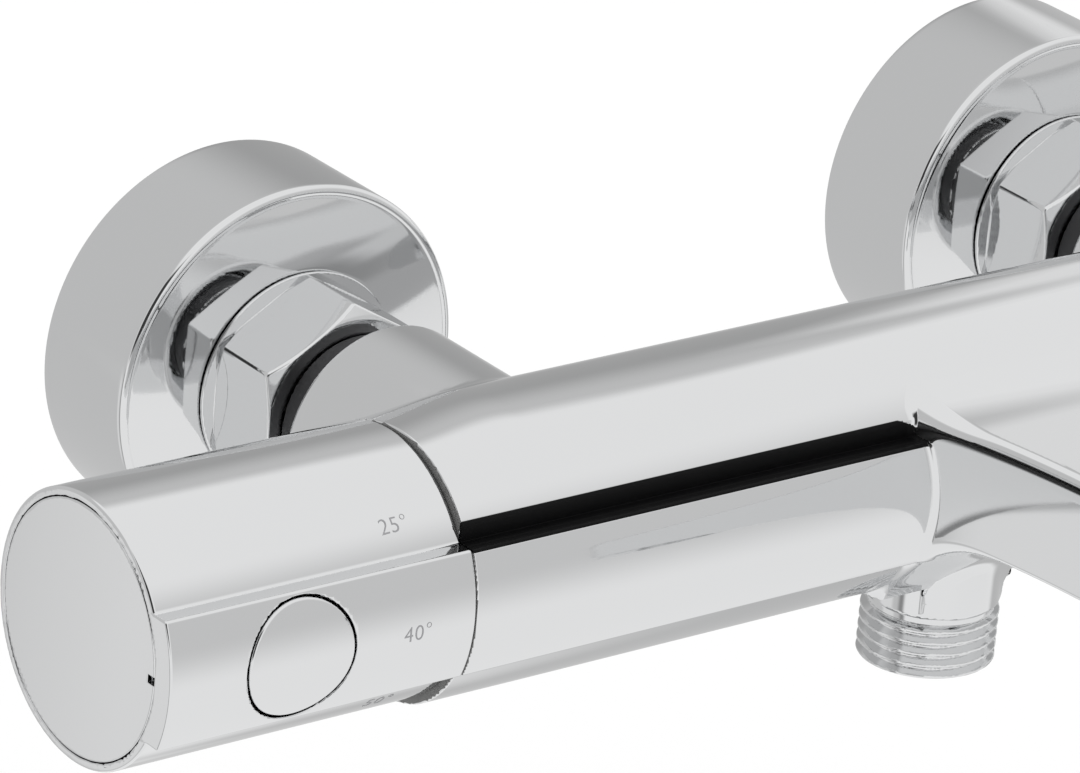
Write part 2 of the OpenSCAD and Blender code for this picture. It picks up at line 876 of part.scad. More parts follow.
module regulating_piston() {
    color(plastic_black) placed() on_side(-1) difference() {
        rod_x(piston_u, piston_u + piston_l, piston_r);
        rod_x(piston_u - cut, piston_u + piston_l - piston_web_l, piston_inner_r);
        rod_x(piston_u, piston_u + piston_l + cut, wax_r + fit / 2);
        for (turn = [0 : 60 : 300]) {
            rotate([turn, 0, 0]) translate([0, (wax_r + piston_inner_r) / 2 + fit, 0])
                rod_x(piston_u, piston_u + piston_l + cut, (piston_inner_r - wax_r) / 3);
        }
    }
}

module wax_element() {
    color(brass) placed() on_side(-1) {
        rod_x(wax_u, wax_u + wax_l, wax_r);
        rod_x(wax_u + wax_l - cut, wax_u + wax_l + wax_tip_l, wax_tip_r);
    }
}

module piston_spring() {
    start = mixer_floor_u + housing_floor_l;
    color(steel) placed() on_side(-1) translate([start, 0, 0]) rotate([0, 90, 0])
        coil_spring(return_coil_r, return_wire_r, piston_u - start, return_turns);
}

// Headwork

module port_holes(u0, u1, r_add) {
    port_bore(0, u0 - cut, u1 + cut, mixed_port_r - running);
    for (turn = port_angles) port_bore(turn, u0 - cut, u1 + cut, port_r - r_add);
}

module headwork_gasket() {
    color(rubber) placed() difference() {
        rod_x(valve_floor_u, valve_floor_u + gasket_l, disc_r);
        port_holes(valve_floor_u, valve_floor_u + gasket_l, running);
    }
}

module ceramic_disc_fixed() {
    color(ceramic) placed() difference() {
        rod_x(fixed_disc_u, fixed_disc_u + disc_l, disc_r);
        port_holes(fixed_disc_u, fixed_disc_u + disc_l, running);
    }
}

// Its recess joins the mixed port to one outlet at a quarter turn either way
module ceramic_disc_turning() {
    color(ceramic) placed() difference() {
        rod_x(turning_disc_u, turning_disc_u + disc_l, disc_r);
        for (turn = [180 - recess_half_turn, 180 + recess_half_turn]) {
            difference() {
                sector_x(turning_disc_u - cut, turning_disc_u + recess_l, port_circle_r + recess_half_w,
                    turn, recess_half_turn + recess_lap_turn);
                rod_x(turning_disc_u - 2 * cut, turning_disc_u + 2 * recess_l, port_circle_r - recess_half_w);
            }
        }
    }
}

module headwork_housing() {
    color(brass) placed() difference() {
        housing_blank(valve_floor_u + slack);
        rod_x(valve_floor_u - cut, shaft_u + running, disc_bore_r);
        rod_x(shaft_u - cut, body_half_l + cut, journal_r + running);
        for (u = valve_grooves) ring_groove(u);
    }
}

module headwork_retaining_nut() {
    color(brass) placed() retaining_nut();
}

module headwork_o_rings() {
    color(rubber) placed() for (u = valve_grooves) seal_ring(u);
}

module headwork_spindle() {
    color(brass) placed() difference() {
        union() {
            rod_x(plate_u, shaft_u, drive_plate_r);
            rod_x(shaft_u - cut, body_half_l - fit, journal_r);
            splined_end();
        }
        screw_bore();
    }
}

// A ring on the casting's end with one lug each side of the handle's rib
module stop_ring(turn) {
    lug_half = (360 - 2 * turn) / 8;
    difference() {
        union() {
            rod_x(body_half_l, body_half_l + stop_base_l, stop_base_r);
            rod_x(body_half_l, body_half_l + stop_l, stop_body_r);
            for (way = [-1, 1]) {
                sector_x(body_half_l, body_half_l + stop_l, stop_base_r,
                    -90 + way * (turn + rib_half_turn + stop_gap_turn + lug_half), lug_half);
            }
        }
        rod_x(body_half_l - cut, body_half_l + stop_l + cut, stop_hole_r);
    }
}

module temperature_stop_ring() {
    color(plastic_white) placed() on_side(-1) stop_ring(temperature_turn);
}

module flow_stop_ring() {
    color(plastic_white) placed() stop_ring(flow_turn);
}

// Handles, drawn on the +X side

module handle_shell() {
    difference() {
        union() {
            turned_x() polygon([
                [0, handle_u0], [handle_r, handle_u0], [handle_r, handle_u1 - shell_bevel],
                [handle_r - shell_bevel, handle_u1], [0, handle_u1]
            ]);
            front_sector(handle_u0, handle_u1, visor_r);
        }
        rod_x(handle_u0 - cut, cap_u + cut / 2, shell_bore_r);
        rod_x(cap_u, handle_u1 + cut, cap_r);
        translate([button_u, 0, 0]) rod_y(-visor_r - cut, 0, button_hole_r);
    }
    // Rib that meets the stop ring's lugs
    intersection() {
        ring_x(body_half_l + stop_base_l + slack, body_half_l + stop_base_l + slack + rib_l,
            (shell_bore_r + handle_r) / 2, rib_inner_r);
        sector_x(body_half_l, handle_u0 + stop_l, handle_r, -90, rib_half_turn);
    }
}

module handle_cap() {
    difference() {
        rod_x(cap_u, handle_u1, cap_r - fit);
        translate([cap_u - cut, -cap_r - cut, -notch_w / 2])
            cube([cap_t + 2 * cut, notch_l + cut, notch_w]);
    }
}

module handle_hub() {
    difference() {
        union() {
            rod_x(hub_web_u - hub_sleeve_l, hub_web_u + hub_web_l, hub_sleeve_r);
            rod_x(hub_web_u, hub_web_u + hub_web_l, hub_r);
            ring_x(hub_web_u, cap_u - fit, hub_r, hub_r - hub_wall);
            translate([hub_web_u, -guide_y, -guide_half_w]) cube([guide_l, guide_t, 2 * guide_half_w]);
        }
        prism_x(hub_web_u - hub_sleeve_l - cut, hub_web_u) polygon(spline_outline(spline_r + running));
        rod_x(hub_web_u - cut, hub_web_u + hub_web_l + cut, screw_r + fit);
        translate([button_u, 0, 0]) {
            rod_y(-visor_r, -guide_y, button_hole_r + fit);
            rod_y(-guide_y - cut, 0, stem_r + running);
        }
    }
}

module handle_screw() {
    rod_x(hub_web_u + hub_web_l, hub_web_u + hub_web_l + screw_head_l, screw_head_r);
    rod_x(spindle_end_u - screw_l + slack, hub_web_u + hub_web_l + cut, screw_r);
}

module handle_button() {
    catch_y = guide_y - guide_t - slack;
    translate([button_u, 0, 0]) {
        intersection() {
            rod_y(-visor_r - cut, -button_back_y, button_r);
            translate([-button_u, 0, 0]) rod_x(handle_u0, handle_u1, visor_r);
        }
        rod_y(-button_back_y - running, -catch_y + stem_catch_l, stem_r);
        rod_y(-catch_y, -catch_y + stem_catch_l, stem_catch_r);
    }
}

module handle_button_spring() {
    translate([button_u, -guide_y, 0]) rotate([90, 0, 0])
        coil_spring(button_coil_r, button_wire_r, button_back_y - guide_y, button_turns);
}

// Hose outlet and aerator

module outlet_nipple() {
    top = nipple_shank_l;
    color(chrome) placed() translate([0, -outlet_y, -outlet_neck_z]) difference() {
        union() {
            rod_z(-nipple_groove_l, top, nipple_shank_r);
            rod_z(-nipple_groove_l - outlet_bevel, 0, nipple_groove_r);
            rotate([180, 0, 0])
                thread_solid(nipple_groove_l, nipple_l - nipple_groove_l, half_thread_r, half_pitch);
        }
        rod_z(-nipple_l - cut, top - nipple_lip_l, nipple_bore_r);
        rod_z(0, top + cut, nipple_lip_r);
    }
}

module outlet_check_housing() {
    color(plastic_white) at_outlet_check() check_housing();
}

module outlet_check_poppet() {
    color(plastic_black) at_outlet_check() check_poppet();
}

module outlet_check_spring() {
    color(steel) at_outlet_check() check_spring();
}

module at_aerator() {
    placed() translate([0, -spout_reach, spout_bottom_z]) children();
}

module aerator_housing() {
    color(chrome) at_aerator() difference() {
        union() {
            rod_z(-aerator_flange_l, 0, aerator_flange_r);
            rod_z(-aerator_flange_l, aerator_thread_l, aerator_thread_r);
        }
        rod_z(-aerator_flange_l + aerator_lip_l, aerator_thread_l + cut, aerator_bore_r);
        rod_z(-aerator_flange_l - cut, 0, aerator_lip_r);
    }
}

module aerator_insert() {
    color(plastic_white) at_aerator() difference() {
        rod_z(-aerator_flange_l + aerator_lip_l, aerator_thread_l, insert_r);
        for (j = [0, 1], i = [1 : insert_holes[j]]) {
            rotate(360 * i / insert_holes[j]) translate([insert_r * insert_ring_shares[j], 0, 0])
                rod_z(-aerator_flange_l, aerator_thread_l + cut, insert_hole_r);
        }
    }
}

module aerator_washer() {
    color(rubber) at_aerator()
        ring_z(aerator_thread_l, aerator_seat_l, aerator_thread_r, washer_hole_r);
}

body_casting();
trim_strip(-1);  // trim_strip_left
trim_strip(1);  // trim_strip_right
inlet_seat(-1);  // inlet_seat_hot
inlet_seat(1);  // inlet_seat_cold
union_nut(-1);  // union_nut_hot
union_nut(1);  // union_nut_cold
union_washers();
wall_union(-1);  // wall_union_hot
wall_union(1);  // wall_union_cold
escutcheon(-1);  // escutcheon_hot
escutcheon(1);  // escutcheon_cold
inlet_check_housings();
inlet_check_poppet(-1);  // inlet_check_poppet_hot
inlet_check_poppet(1);  // inlet_check_poppet_cold
inlet_check_spring(-1);  // inlet_check_spring_hot
inlet_check_spring(1);  // inlet_check_spring_cold
thermostat_housing();
thermostat_retaining_nut();
thermostat_o_rings();
thermostat_spindle();
regulating_piston();
wax_element();
piston_spring();
temperature_stop_ring();
color(chrome) placed() on_side(-1) handle_shell();  // temperature_handle_shell
color(chrome) placed() on_side(-1) handle_cap();  // temperature_handle_cap
color(plastic_white) placed() on_side(-1) handle_hub();  // temperature_handle_hub
color(steel) placed() on_side(-1) handle_screw();  // temperature_handle_screw
color(chrome) placed() on_side(-1) handle_button();  // temperature_button
color(steel) placed() on_side(-1) handle_button_spring();  // temperature_button_spring
headwork_gasket();
ceramic_disc_fixed();
ceramic_disc_turning();
headwork_housing();
headwork_retaining_nut();
headwork_o_rings();
headwork_spindle();
flow_stop_ring();
color(chrome) placed() handle_shell();  // flow_handle_shell
color(chrome) placed() handle_cap();  // flow_handle_cap
color(plastic_white) placed() handle_hub();  // flow_handle_hub
color(steel) placed() handle_screw();  // flow_handle_screw
color(chrome) placed() handle_button();  // flow_button
color(steel) placed() handle_button_spring();  // flow_button_spring
outlet_nipple();
outlet_check_housing();
outlet_check_poppet();
outlet_check_spring();
aerator_housing();
aerator_insert();
aerator_washer();
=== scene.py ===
import json
import math

import bmesh
import bpy
import numpy as np
from mathutils import Matrix, Vector


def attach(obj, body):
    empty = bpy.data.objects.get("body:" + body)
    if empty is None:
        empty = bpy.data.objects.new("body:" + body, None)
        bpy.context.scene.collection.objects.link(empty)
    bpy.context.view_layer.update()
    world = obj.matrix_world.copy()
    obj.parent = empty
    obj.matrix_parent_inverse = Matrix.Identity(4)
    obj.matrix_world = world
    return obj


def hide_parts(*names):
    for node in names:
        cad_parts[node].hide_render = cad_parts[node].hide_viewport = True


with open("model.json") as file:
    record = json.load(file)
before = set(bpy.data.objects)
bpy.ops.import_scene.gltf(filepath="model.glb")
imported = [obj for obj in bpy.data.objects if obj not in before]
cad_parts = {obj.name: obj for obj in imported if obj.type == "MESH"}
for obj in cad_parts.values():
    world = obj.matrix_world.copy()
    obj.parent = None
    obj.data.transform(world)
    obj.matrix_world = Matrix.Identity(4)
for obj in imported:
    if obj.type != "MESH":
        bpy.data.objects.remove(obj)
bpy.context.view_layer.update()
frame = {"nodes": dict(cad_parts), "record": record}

SCENE = bpy.context.scene

# Shapes are written in millimetres from the middle of the barrel's axis (X along the
# barrel, Y to the wall, Z up) and moved into the row frame, in metres, by to_row.
INLET_X, WALL_Y, AXIS_Z = 75.0, 80.4, 5.0
MIDDLE = np.array([INLET_X, -WALL_Y, AXIS_Z])


def to_row(points):
    return (np.asarray(points, float) + MIDDLE) * 0.001


# Objects and meshes ----------------------------------------------------------------------


def add_object(name, data):
    obj = bpy.data.objects.new(name, data)
    SCENE.collection.objects.link(obj)
    return obj


def new_piece(name, points, faces, body, slot, nodes=(), normals=None, sharp=None, paint=None):
    """A mesh that rides a body; its material is the slot's own unless paint names another."""
    mesh = bpy.data.meshes.new(name)
    count, sides = faces.shape
    mesh.vertices.add(len(points))
    mesh.vertices.foreach_set("co", to_row(points).astype(np.float32).ravel())
    mesh.loops.add(count * sides)
    mesh.loops.foreach_set("vertex_index", faces.astype(np.int32).ravel())
    mesh.polygons.add(count)
    starts = np.arange(0, count * sides, sides, dtype=np.int32)
    mesh.polygons.foreach_set("loop_start", starts)
    mesh.update(calc_edges=True)
    mesh.validate()
    mesh.shade_smooth()
    if sharp is not None:
        mesh.set_sharp_from_angle(angle=math.radians(sharp))
    if normals is not None:
        mesh.normals_split_custom_set_from_vertices([tuple(n) for n in normals])
    obj = add_object(name, mesh)
    mesh.materials.append(MATS[paint or slot])
    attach(obj, body)
    if nodes:
        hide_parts(*nodes)
    return obj


def repaint(obj, key, where):
    """Gives the faces whose middles lie in a region another material."""
    mesh = obj.data
    middles = np.empty(len(mesh.polygons) * 3, np.float32)
    index = np.empty(len(mesh.polygons), np.int32)
    mesh.polygons.foreach_get("center", middles)
    mesh.polygons.foreach_get("material_index", index)
    x, y, z = (middles.reshape(-1, 3) * 1000 - MIDDLE).T
    mesh.materials.append(MATS[key])
    index[where(x, y, z)] = len(mesh.materials) - 1
    mesh.polygons.foreach_set("material_index", index)


# Surfaces of distance functions ----------------------------------------------------------

SLAB = 16  # grid planes that are sampled at a time
PROBE = 0.01  # half the distance over which a slope is measured
ROUNDS, LONGEST_MOVE, LEAST_SLOPE, TINY = 6, 0.6, 0.05, 1e-9  # moving points to a surface
CORNERS = [(a, b, c) for a in (0, 1) for b in (0, 1) for c in (0, 1)]


def steps(*spans):
    """Grid positions from (start, end, spacing) spans that follow each other."""
    out = [spans[0][0]]
    for start, end, gap in spans:
        count = max(1, round((end - start) / gap))
        out += [start + (end - start) * (i + 1) / count for i in range(count)]
    return np.array(out, float)


def mirrored(*spans):
    """The same for spans that run outward from 0, on both sides of it."""
    half = steps(*spans)
    return np.concatenate([-half[::-1], half[1:]])


def gradient(f, points):
    g = np.empty_like(points)
    for axis in range(3):
        q = points.copy()
        q[:, axis] += PROBE
        up = f(*q.T)
        q[:, axis] -= 2 * PROBE
        g[:, axis] = (up - f(*q.T)) / (2 * PROBE)
    return g


def edge_middles(value, axes, cells):
    """For each cell the mean of the points where the surface cuts its edges."""
    total, hits = np.zeros((len(cells), 3)), np.zeros(len(cells))
    for corner in CORNERS:
        for axis in range(3):
            if corner[axis]:
                continue
            a, b = cells + corner, cells + corner
            b[:, axis] += 1
            va, vb = value[tuple(a.T)].astype(float), value[tuple(b.T)].astype(float)
            cut = (va < 0) != (vb < 0)
            t = np.where(cut, va / np.where(cut, va - vb, 1), 0)
            for k in range(3):
                pa, pb = axes[k][a[:, k]], axes[k][b[:, k]]
                total[:, k] += np.where(cut, pa + (pb - pa) * t, 0)
            hits += cut
    return total / hits[:, None]


def edge_quads(inside, number):
    """A quad through the four cells round each grid edge that the surface cuts."""
    quads = []
    for axis in range(3):
        u, v = [k for k in range(3) if k != axis]
        low, high = [slice(1, -1)] * 3, [slice(1, -1)] * 3
        low[axis], high[axis] = slice(None, -1), slice(1, None)
        a, b = inside[tuple(low)], inside[tuple(high)]
        at = np.argwhere(a != b)
        flip = a[tuple(at.T)] if axis != 1 else ~a[tuple(at.T)]
        ring = []
        for du, dv in ((0, 0), (1, 0), (1, 1), (0, 1)):
            cell = at.copy()
            cell[:, u] += du
            cell[:, v] += dv
            ring.append(number[tuple(cell.T)])
        ring = np.stack(ring, 1)
        quads.append(np.where(flip[:, None], ring, ring[:, ::-1]))
    return np.concatenate(quads)


def isosurface(f, xs, ys, zs):
    """Points, quads and normals of the surface f = 0, from a grid with uneven spacing."""
    value = np.empty((len(xs), len(ys), len(zs)), np.float32)
    for i in range(0, len(xs), SLAB):
        value[i:i + SLAB] = f(xs[i:i + SLAB, None, None], ys[None, :, None], zs[None, None, :])
    inside = value < 0
    count = np.zeros([n - 1 for n in value.shape], np.uint8)
    for corner in CORNERS:
        count += inside[tuple(slice(c, c + n) for c, n in zip(corner, count.shape))]
    cells = np.argwhere((count > 0) & (count < len(CORNERS)))
    number = np.full(count.shape, -1, np.int32)
    number[tuple(cells.T)] = np.arange(len(cells))
    points = edge_middles(value, (xs, ys, zs), cells)
    for _ in range(ROUNDS):
        g = gradient(f, points)
        move = g * (f(*points.T) / np.maximum((g * g).sum(1), LEAST_SLOPE))[:, None]
        length = np.sqrt((move * move).sum(1))
        points -= move * np.minimum(1, LONGEST_MOVE / np.maximum(length, TINY))[:, None]
    g = gradient(f, points)
    g /= np.maximum(np.sqrt((g * g).sum(1)), TINY)[:, None]
    return points, edge_quads(inside, number), g


# Distance functions, in millimetres ------------------------------------------------------


def common(a, b, r):
    """What lies in both, with the outer edge rounded by r."""
    corner = np.hypot(np.maximum(a + r, 0), np.maximum(b + r, 0))
    return np.minimum(-r, np.maximum(a, b)) + corner


def joined(a, b, r):
    """Both together, with a fillet of radius r in the corner between them."""
    corner = np.hypot(np.maximum(r - a, 0), np.maximum(r - b, 0))
    return np.maximum(r, np.minimum(a, b)) - corner


def without(a, b, r):
    """The first less the second, with the edge between them rounded by r."""
    return common(a, -b, r)


def span(v, low, high):
    return np.maximum(low - v, v - high)


def rod(u, v, w, r, low, high, edge):
    """A rod of radius r about the w axis, between low and high, with rounded rims."""
    return common(np.hypot(u, v) - r, span(w, low, high), edge)


def bore(u, v, w, r, low, high):
    """The same with sharp rims, to cut with."""
    return np.maximum(np.hypot(u, v) - r, span(w, low, high))


def smooth_step(t):
    t = np.clip(t, 0, 1)
    return t * t * (3 - 2 * t)


# Barrel: radius, half length and the thin step round each end. Towards the ends its back
# draws in to END_R over END_RUN, from END_TURN degrees off the front on.
BODY_R, BODY_L, END_STEP, STEP_EDGE, END_EDGE = 21.2, 100.4, 0.15, 0.1, 0.05
END_R, END_RUN, END_TURN, END_TURN_RUN = 20.0, 18.0, 52.0, 60.0
# Visor: radius, half height and edge. Above it lies the ledge that the strips cover.
VISOR_R, VISOR_H, VISOR_EDGE, VISOR_FILLET = 22.5, 9.7, 0.3, 0.2
LEDGE_Y, LEDGE_EDGE = 17.4, 0.12


def visor(r, x, y, z):
    band = common(r - VISOR_R, np.abs(z) - VISOR_H, VISOR_EDGE)
    return np.maximum(common(band, np.abs(x) - BODY_L, VISOR_EDGE), y)


def barrel(x, y, z):
    r = np.hypot(y, z)
    turn = np.degrees(np.abs(np.arctan2(z, -y)))
    drop = (BODY_R - END_R) * smooth_step((turn - END_TURN) / END_TURN_RUN)
    d = r - BODY_R + drop * (1 - smooth_step((BODY_L - np.abs(x)) / END_RUN))
    slope = (d + np.abs(x) - BODY_L + END_STEP) * math.sqrt(0.5)
    d = common(common(d, slope, STEP_EDGE), np.abs(x) - BODY_L, END_EDGE)
    return joined(d, visor(r, x, y, z), VISOR_FILLET)


def ledge(y, z, depth):
    """The room above the visor that the ledge leaves, cut deeper by depth."""
    return np.maximum(VISOR_H - depth - z, y + LEDGE_Y - depth)


# Spout, with distances out from the barrel's axis. From the waist its half width grows
# with the cube of the distance, as far in as FLARE_END.
SPOUT_TOP, SPOUT_BOTTOM, SPOUT_HALF, SPOUT_REACH = 13.8, -4.4, 12.5, 114.0
WAIST, FLARE, FLARE_END, ROOT = 79.0, 2.85e-5, 16.0, 12.0
# The sides lean in above SHOULDER_Z, and the top rises to the root along a plane that
# meets the flat top in a bend of size RISE_BEND.
SHOULDER_R, SHOULDER_Z = 8.0, 10.2
RISE_OUT, RISE_Z, RISE_TURN, RISE_BEND = 13.2, 16.6, math.radians(16), 1.6
# An arc runs from the visor's lower edge to the underside.
GUSSET_IN, GUSSET_OUT = 20.3, 36.0
# Radius of its edges, and how much the top and bottom ones grow, from where on
SPOUT_EDGE, TOP_GROWTH, TOP_FROM = 1.0, 1.2, 34.0
UNDER_GROWTH, UNDER_FROM, GROWTH_RUN = 2.0, 36.0, 14.0
# Fillets to the barrel, above and at the sides
TOP_FILLET, SIDE_FILLET, FILLET_RUN = 0.6, 1.0, 5.0


def spout(x, y, z):
    """The spout, and the distances to its side and its top."""
    out = -y
    half = SPOUT_HALF + FLARE * np.maximum(WAIST - np.maximum(out, FLARE_END), 0) ** 3
    round_end = np.hypot(x, out - SPOUT_REACH) - SPOUT_HALF
    side = np.where(out < SPOUT_REACH, np.abs(x) - half, round_end)
    side = side + np.maximum(z - SHOULDER_Z, 0) ** 2 / (2 * SHOULDER_R)
    flat = z - SPOUT_TOP
    rise = (z - RISE_Z) * math.cos(RISE_TURN) + (out - RISE_OUT) * math.sin(RISE_TURN)
    near = np.maximum(RISE_BEND - np.abs(flat - rise), 0)
    top = np.minimum(flat, rise) - near ** 2 / (4 * RISE_BEND)
    high, run = SPOUT_BOTTOM + VISOR_H, GUSSET_OUT - GUSSET_IN
    r = (run * run + high * high) / (2 * high)
    arc = r - np.hypot(out - GUSSET_OUT, z - SPOUT_BOTTOM + r)
    under = np.where(out > GUSSET_OUT, SPOUT_BOTTOM - z, arc)
    top_edge = SPOUT_EDGE + TOP_GROWTH * smooth_step((TOP_FROM - out) / GROWTH_RUN)
    under_edge = SPOUT_EDGE + UNDER_GROWTH * smooth_step((UNDER_FROM - out) / GROWTH_RUN)
    body = common(common(side, top, top_edge), under, under_edge)
    return np.maximum(body, ROOT - out), side, top


def cast(x, y, z, depth):
    """Barrel, visor and spout, with the ledge cut deeper by depth."""
    base = without(barrel(x, y, z), ledge(y, z, depth), LEDGE_EDGE)
    body, side, top = spout(x, y, z)
    mix = smooth_step((side - top) / FILLET_RUN + 0.5)
    return joined(base, body, TOP_FILLET + (SIDE_FILLET - TOP_FILLET) * mix)


# Trim strips: their upper limit is a slanted plane, and their end beside the spout leans
# outward with height.
STRIP_T, STRIP_LAP, STRIP_ROOM, STRIP_Z1, STRIP_INSET = 0.4, 0.1, 0.6, 14.0, 3.0
LIMIT_Y, LIMIT_Z, LIMIT_SLANT, LIMIT_SCALE = -17.5, 12.35, 0.51, 0.89
LEAN_X, LEAN, LEAN_H, LEAN_MOST, LEAN_POWER = 17.0, 3.4, 2.4, 1.2, 1.7


def strip_limit(x, y, z):
    """Negative where a trim strip runs."""
    slant = z - LIMIT_Z - LIMIT_SLANT * (y - LIMIT_Y)
    end = LEAN_X + LEAN * np.clip((z - VISOR_H) / LEAN_H, 0, LEAN_MOST) ** LEAN_POWER
    return np.maximum(slant * LIMIT_SCALE, end - np.abs(x))


def strip(x, y, z):
    """The skin between the two ledge depths, with the same section along the ends."""
    middle = np.clip(x, STRIP_INSET - BODY_L, BODY_L - STRIP_INSET)
    skin = np.maximum(cast(middle, y, z, 0.0), -cast(middle, y, z, STRIP_T + STRIP_LAP))
    room = np.maximum(ledge(y, z, STRIP_T + STRIP_ROOM), z - STRIP_Z1)
    skin = np.maximum(np.maximum(skin, room), strip_limit(x, y, z))
    return np.maximum(skin, np.abs(x) - BODY_L)


# Rear bosses with their necks, and the hose outlet
BOSS_R, BOSS_Y, BOSS_EDGE, BOSS_FILLET = 17.0, 36.5, 1.0, 1.0
NECK_R, NECK_L, NECK_EDGE, NECK_FILLET = 12.8, 6.8, 0.3, 0.15
OUTLET_R, OUTLET_Y, OUTLET_Z, OUTLET_EDGE, OUTLET_FILLET = 10.3, 4.5, 24.8, 0.5, 1.2
# Bores that show, each step with its radius, start and end: along the barrel from its
# middle, along an inlet from the barrel's axis, and in height
BARREL_BORES = ((14.6, 51.4, 103), (15.6, 92.6, 103))
INLET_BORES = ((10.9, 30.2, 60), (7.0, 16.6, 60))
OUTLET_BORES = ((9.2, -40, -19.7),)
SPOUT_BORES = ((9.4, -20, SPOUT_BOTTOM + 7.5),)


def casting(x, y, z):
    strips = strip_limit(x, y, z) < 0
    d = np.where(strips, cast(x, y, z, STRIP_T), cast(x, y, z, 0.0))
    u = np.abs(x)
    inlet = u - INLET_X
    d = joined(d, rod(inlet, z, y, BOSS_R, -5, BOSS_Y, BOSS_EDGE), BOSS_FILLET)
    d = joined(d, rod(inlet, z, y, NECK_R, 0, BOSS_Y + NECK_L, NECK_EDGE), NECK_FILLET)
    outlet = rod(x, y + OUTLET_Y, z, OUTLET_R, -OUTLET_Z, 0, OUTLET_EDGE)
    d = np.maximum(joined(d, outlet, OUTLET_FILLET), u - BODY_L)
    for a, b, along, bores in (
        (y, z, u, BARREL_BORES),
        (inlet, z, y, INLET_BORES),
        (x, y + OUTLET_Y, z, OUTLET_BORES),
        (x, y + SPOUT_REACH, z, SPOUT_BORES),
    ):
        for size in bores:
            d = np.maximum(d, -bore(a, b, along, *size))
    return d


# Materials -------------------------------------------------------------------------------

# How far a plain material's roughness and colour vary, and the height of its bump
ROUGH_RANGE, SHADE_RANGE, BUMP_HEIGHT = (0.8, 1.25), (0.86, 1.12), 0.0001


def shader(tree, kind, inputs=(), **settings):
    """A shader node. Inputs are pairs of a socket's key and its value or its source."""
    node = tree.nodes.new("ShaderNode" + kind)
    for key, value in settings.items():
        setattr(node, key, value)
    for key, value in inputs:
        if isinstance(value, bpy.types.NodeSocket):
            tree.links.new(value, node.inputs[key])
        else:
            node.inputs[key].default_value = value
    return node


def material(name, color, metallic, rough):
    mat = bpy.data.materials.new(name)
    mat.use_nodes = True
    bsdf = mat.node_tree.nodes["Principled BSDF"]
    bsdf.inputs["Base Color"].default_value = (*color, 1)
    bsdf.inputs["Metallic"].default_value = metallic
    bsdf.inputs["Roughness"].default_value = rough
    return mat, mat.node_tree, bsdf


def noise(tree, scale, detail):
    coord = shader(tree, "TexCoord").outputs["Object"]
    inputs = (("Vector", coord), ("Scale", scale), ("Detail", detail))
    return shader(tree, "TexNoise", inputs).outputs["Fac"]


def vary(tree, bsdf, source, low, high):
    """Roughness between two values."""
    inputs = (("Value", source), ("To Min", low), ("To Max", high))
    result = shader(tree, "MapRange", inputs).outputs["Result"]
    tree.links.new(result, bsdf.inputs["Roughness"])


def make_chrome(name):
    mat, tree, bsdf = material(name, (0.72, 0.725, 0.73), 1.0, 0.045)
    vary(tree, bsdf, noise(tree, 45.0, 4.0), 0.035, 0.06)
    return mat


def make_plain(name, color, metallic, rough, scale, bump):
    """A material whose roughness, colour and height vary a little with one noise."""
    mat, tree, bsdf = material(name, color, metallic, rough)
    source = noise(tree, scale, 5.0)
    vary(tree, bsdf, source, rough * ROUGH_RANGE[0], rough * ROUGH_RANGE[1])
    dark, light = [(*[min(1, c * k) for c in color], 1) for k in SHADE_RANGE]
    mix = shader(tree, "Mix", data_type="RGBA")
    mix.inputs["A"].default_value, mix.inputs["B"].default_value = dark, light
    tree.links.new(source, mix.inputs["Factor"])
    tree.links.new(mix.outputs["Result"], bsdf.inputs["Base Color"])
    inputs = (("Strength", bump), ("Distance", BUMP_HEIGHT), ("Height", source))
    height = shader(tree, "Bump", inputs).outputs["Normal"]
    tree.links.new(height, bsdf.inputs["Normal"])
    return mat


# Colour, metallic, roughness, scale of the noise and strength of the bump
PLAIN = {
    "black_trim": ((0.002, 0.002, 0.0022), 0.0, 0.5, 900, 0.05),
    "turned_brass": ((0.62, 0.44, 0.18), 1.0, 0.3, 300, 0.1),
    "seal_rubber": ((0.02, 0.02, 0.02), 0.0, 0.6, 1200, 0.3),
    "white_plastic": ((0.75, 0.75, 0.72), 0.0, 0.45, 900, 0.15),
    "dark_plastic": ((0.03, 0.03, 0.033), 0.0, 0.4, 900, 0.15),
    "spring_steel": ((0.55, 0.56, 0.58), 1.0, 0.25, 1500, 0.1),
    "disc_ceramic": ((0.78, 0.77, 0.72), 0.0, 0.25, 700, 0.05),
    # painted shade: dark metal for the necks behind the bosses, where the chrome lies in shade
    "raw_metal": ((0.045, 0.045, 0.047), 0.6, 0.42, 700, 0.12),
    # painted shadow: darker metal for the end step of the barrel, where the seam to the handle
    # lies in shade
    "end_metal": ((0.17, 0.17, 0.168), 0.2, 0.45, 700, 0.05),
    "mark_grey": ((0.30, 0.30, 0.31), 0.0, 0.5, 1500, 0.05),
}
CHROME = "polished_chrome"
MATS = {CHROME: make_chrome(CHROME)}
for name, values in PLAIN.items():
    MATS[name] = make_plain(name, *values)
trim_bsdf = MATS["black_trim"].node_tree.nodes["Principled BSDF"]
trim_bsdf.inputs["Specular IOR Level"].default_value = 0.12
for part in frame["record"]["subparts"]:
    node_mesh = frame["nodes"][part["node"]].data
    node_mesh.materials.clear()
    node_mesh.materials.append(MATS[part["material_slot"]])

# Casting and trim strips -----------------------------------------------------------------

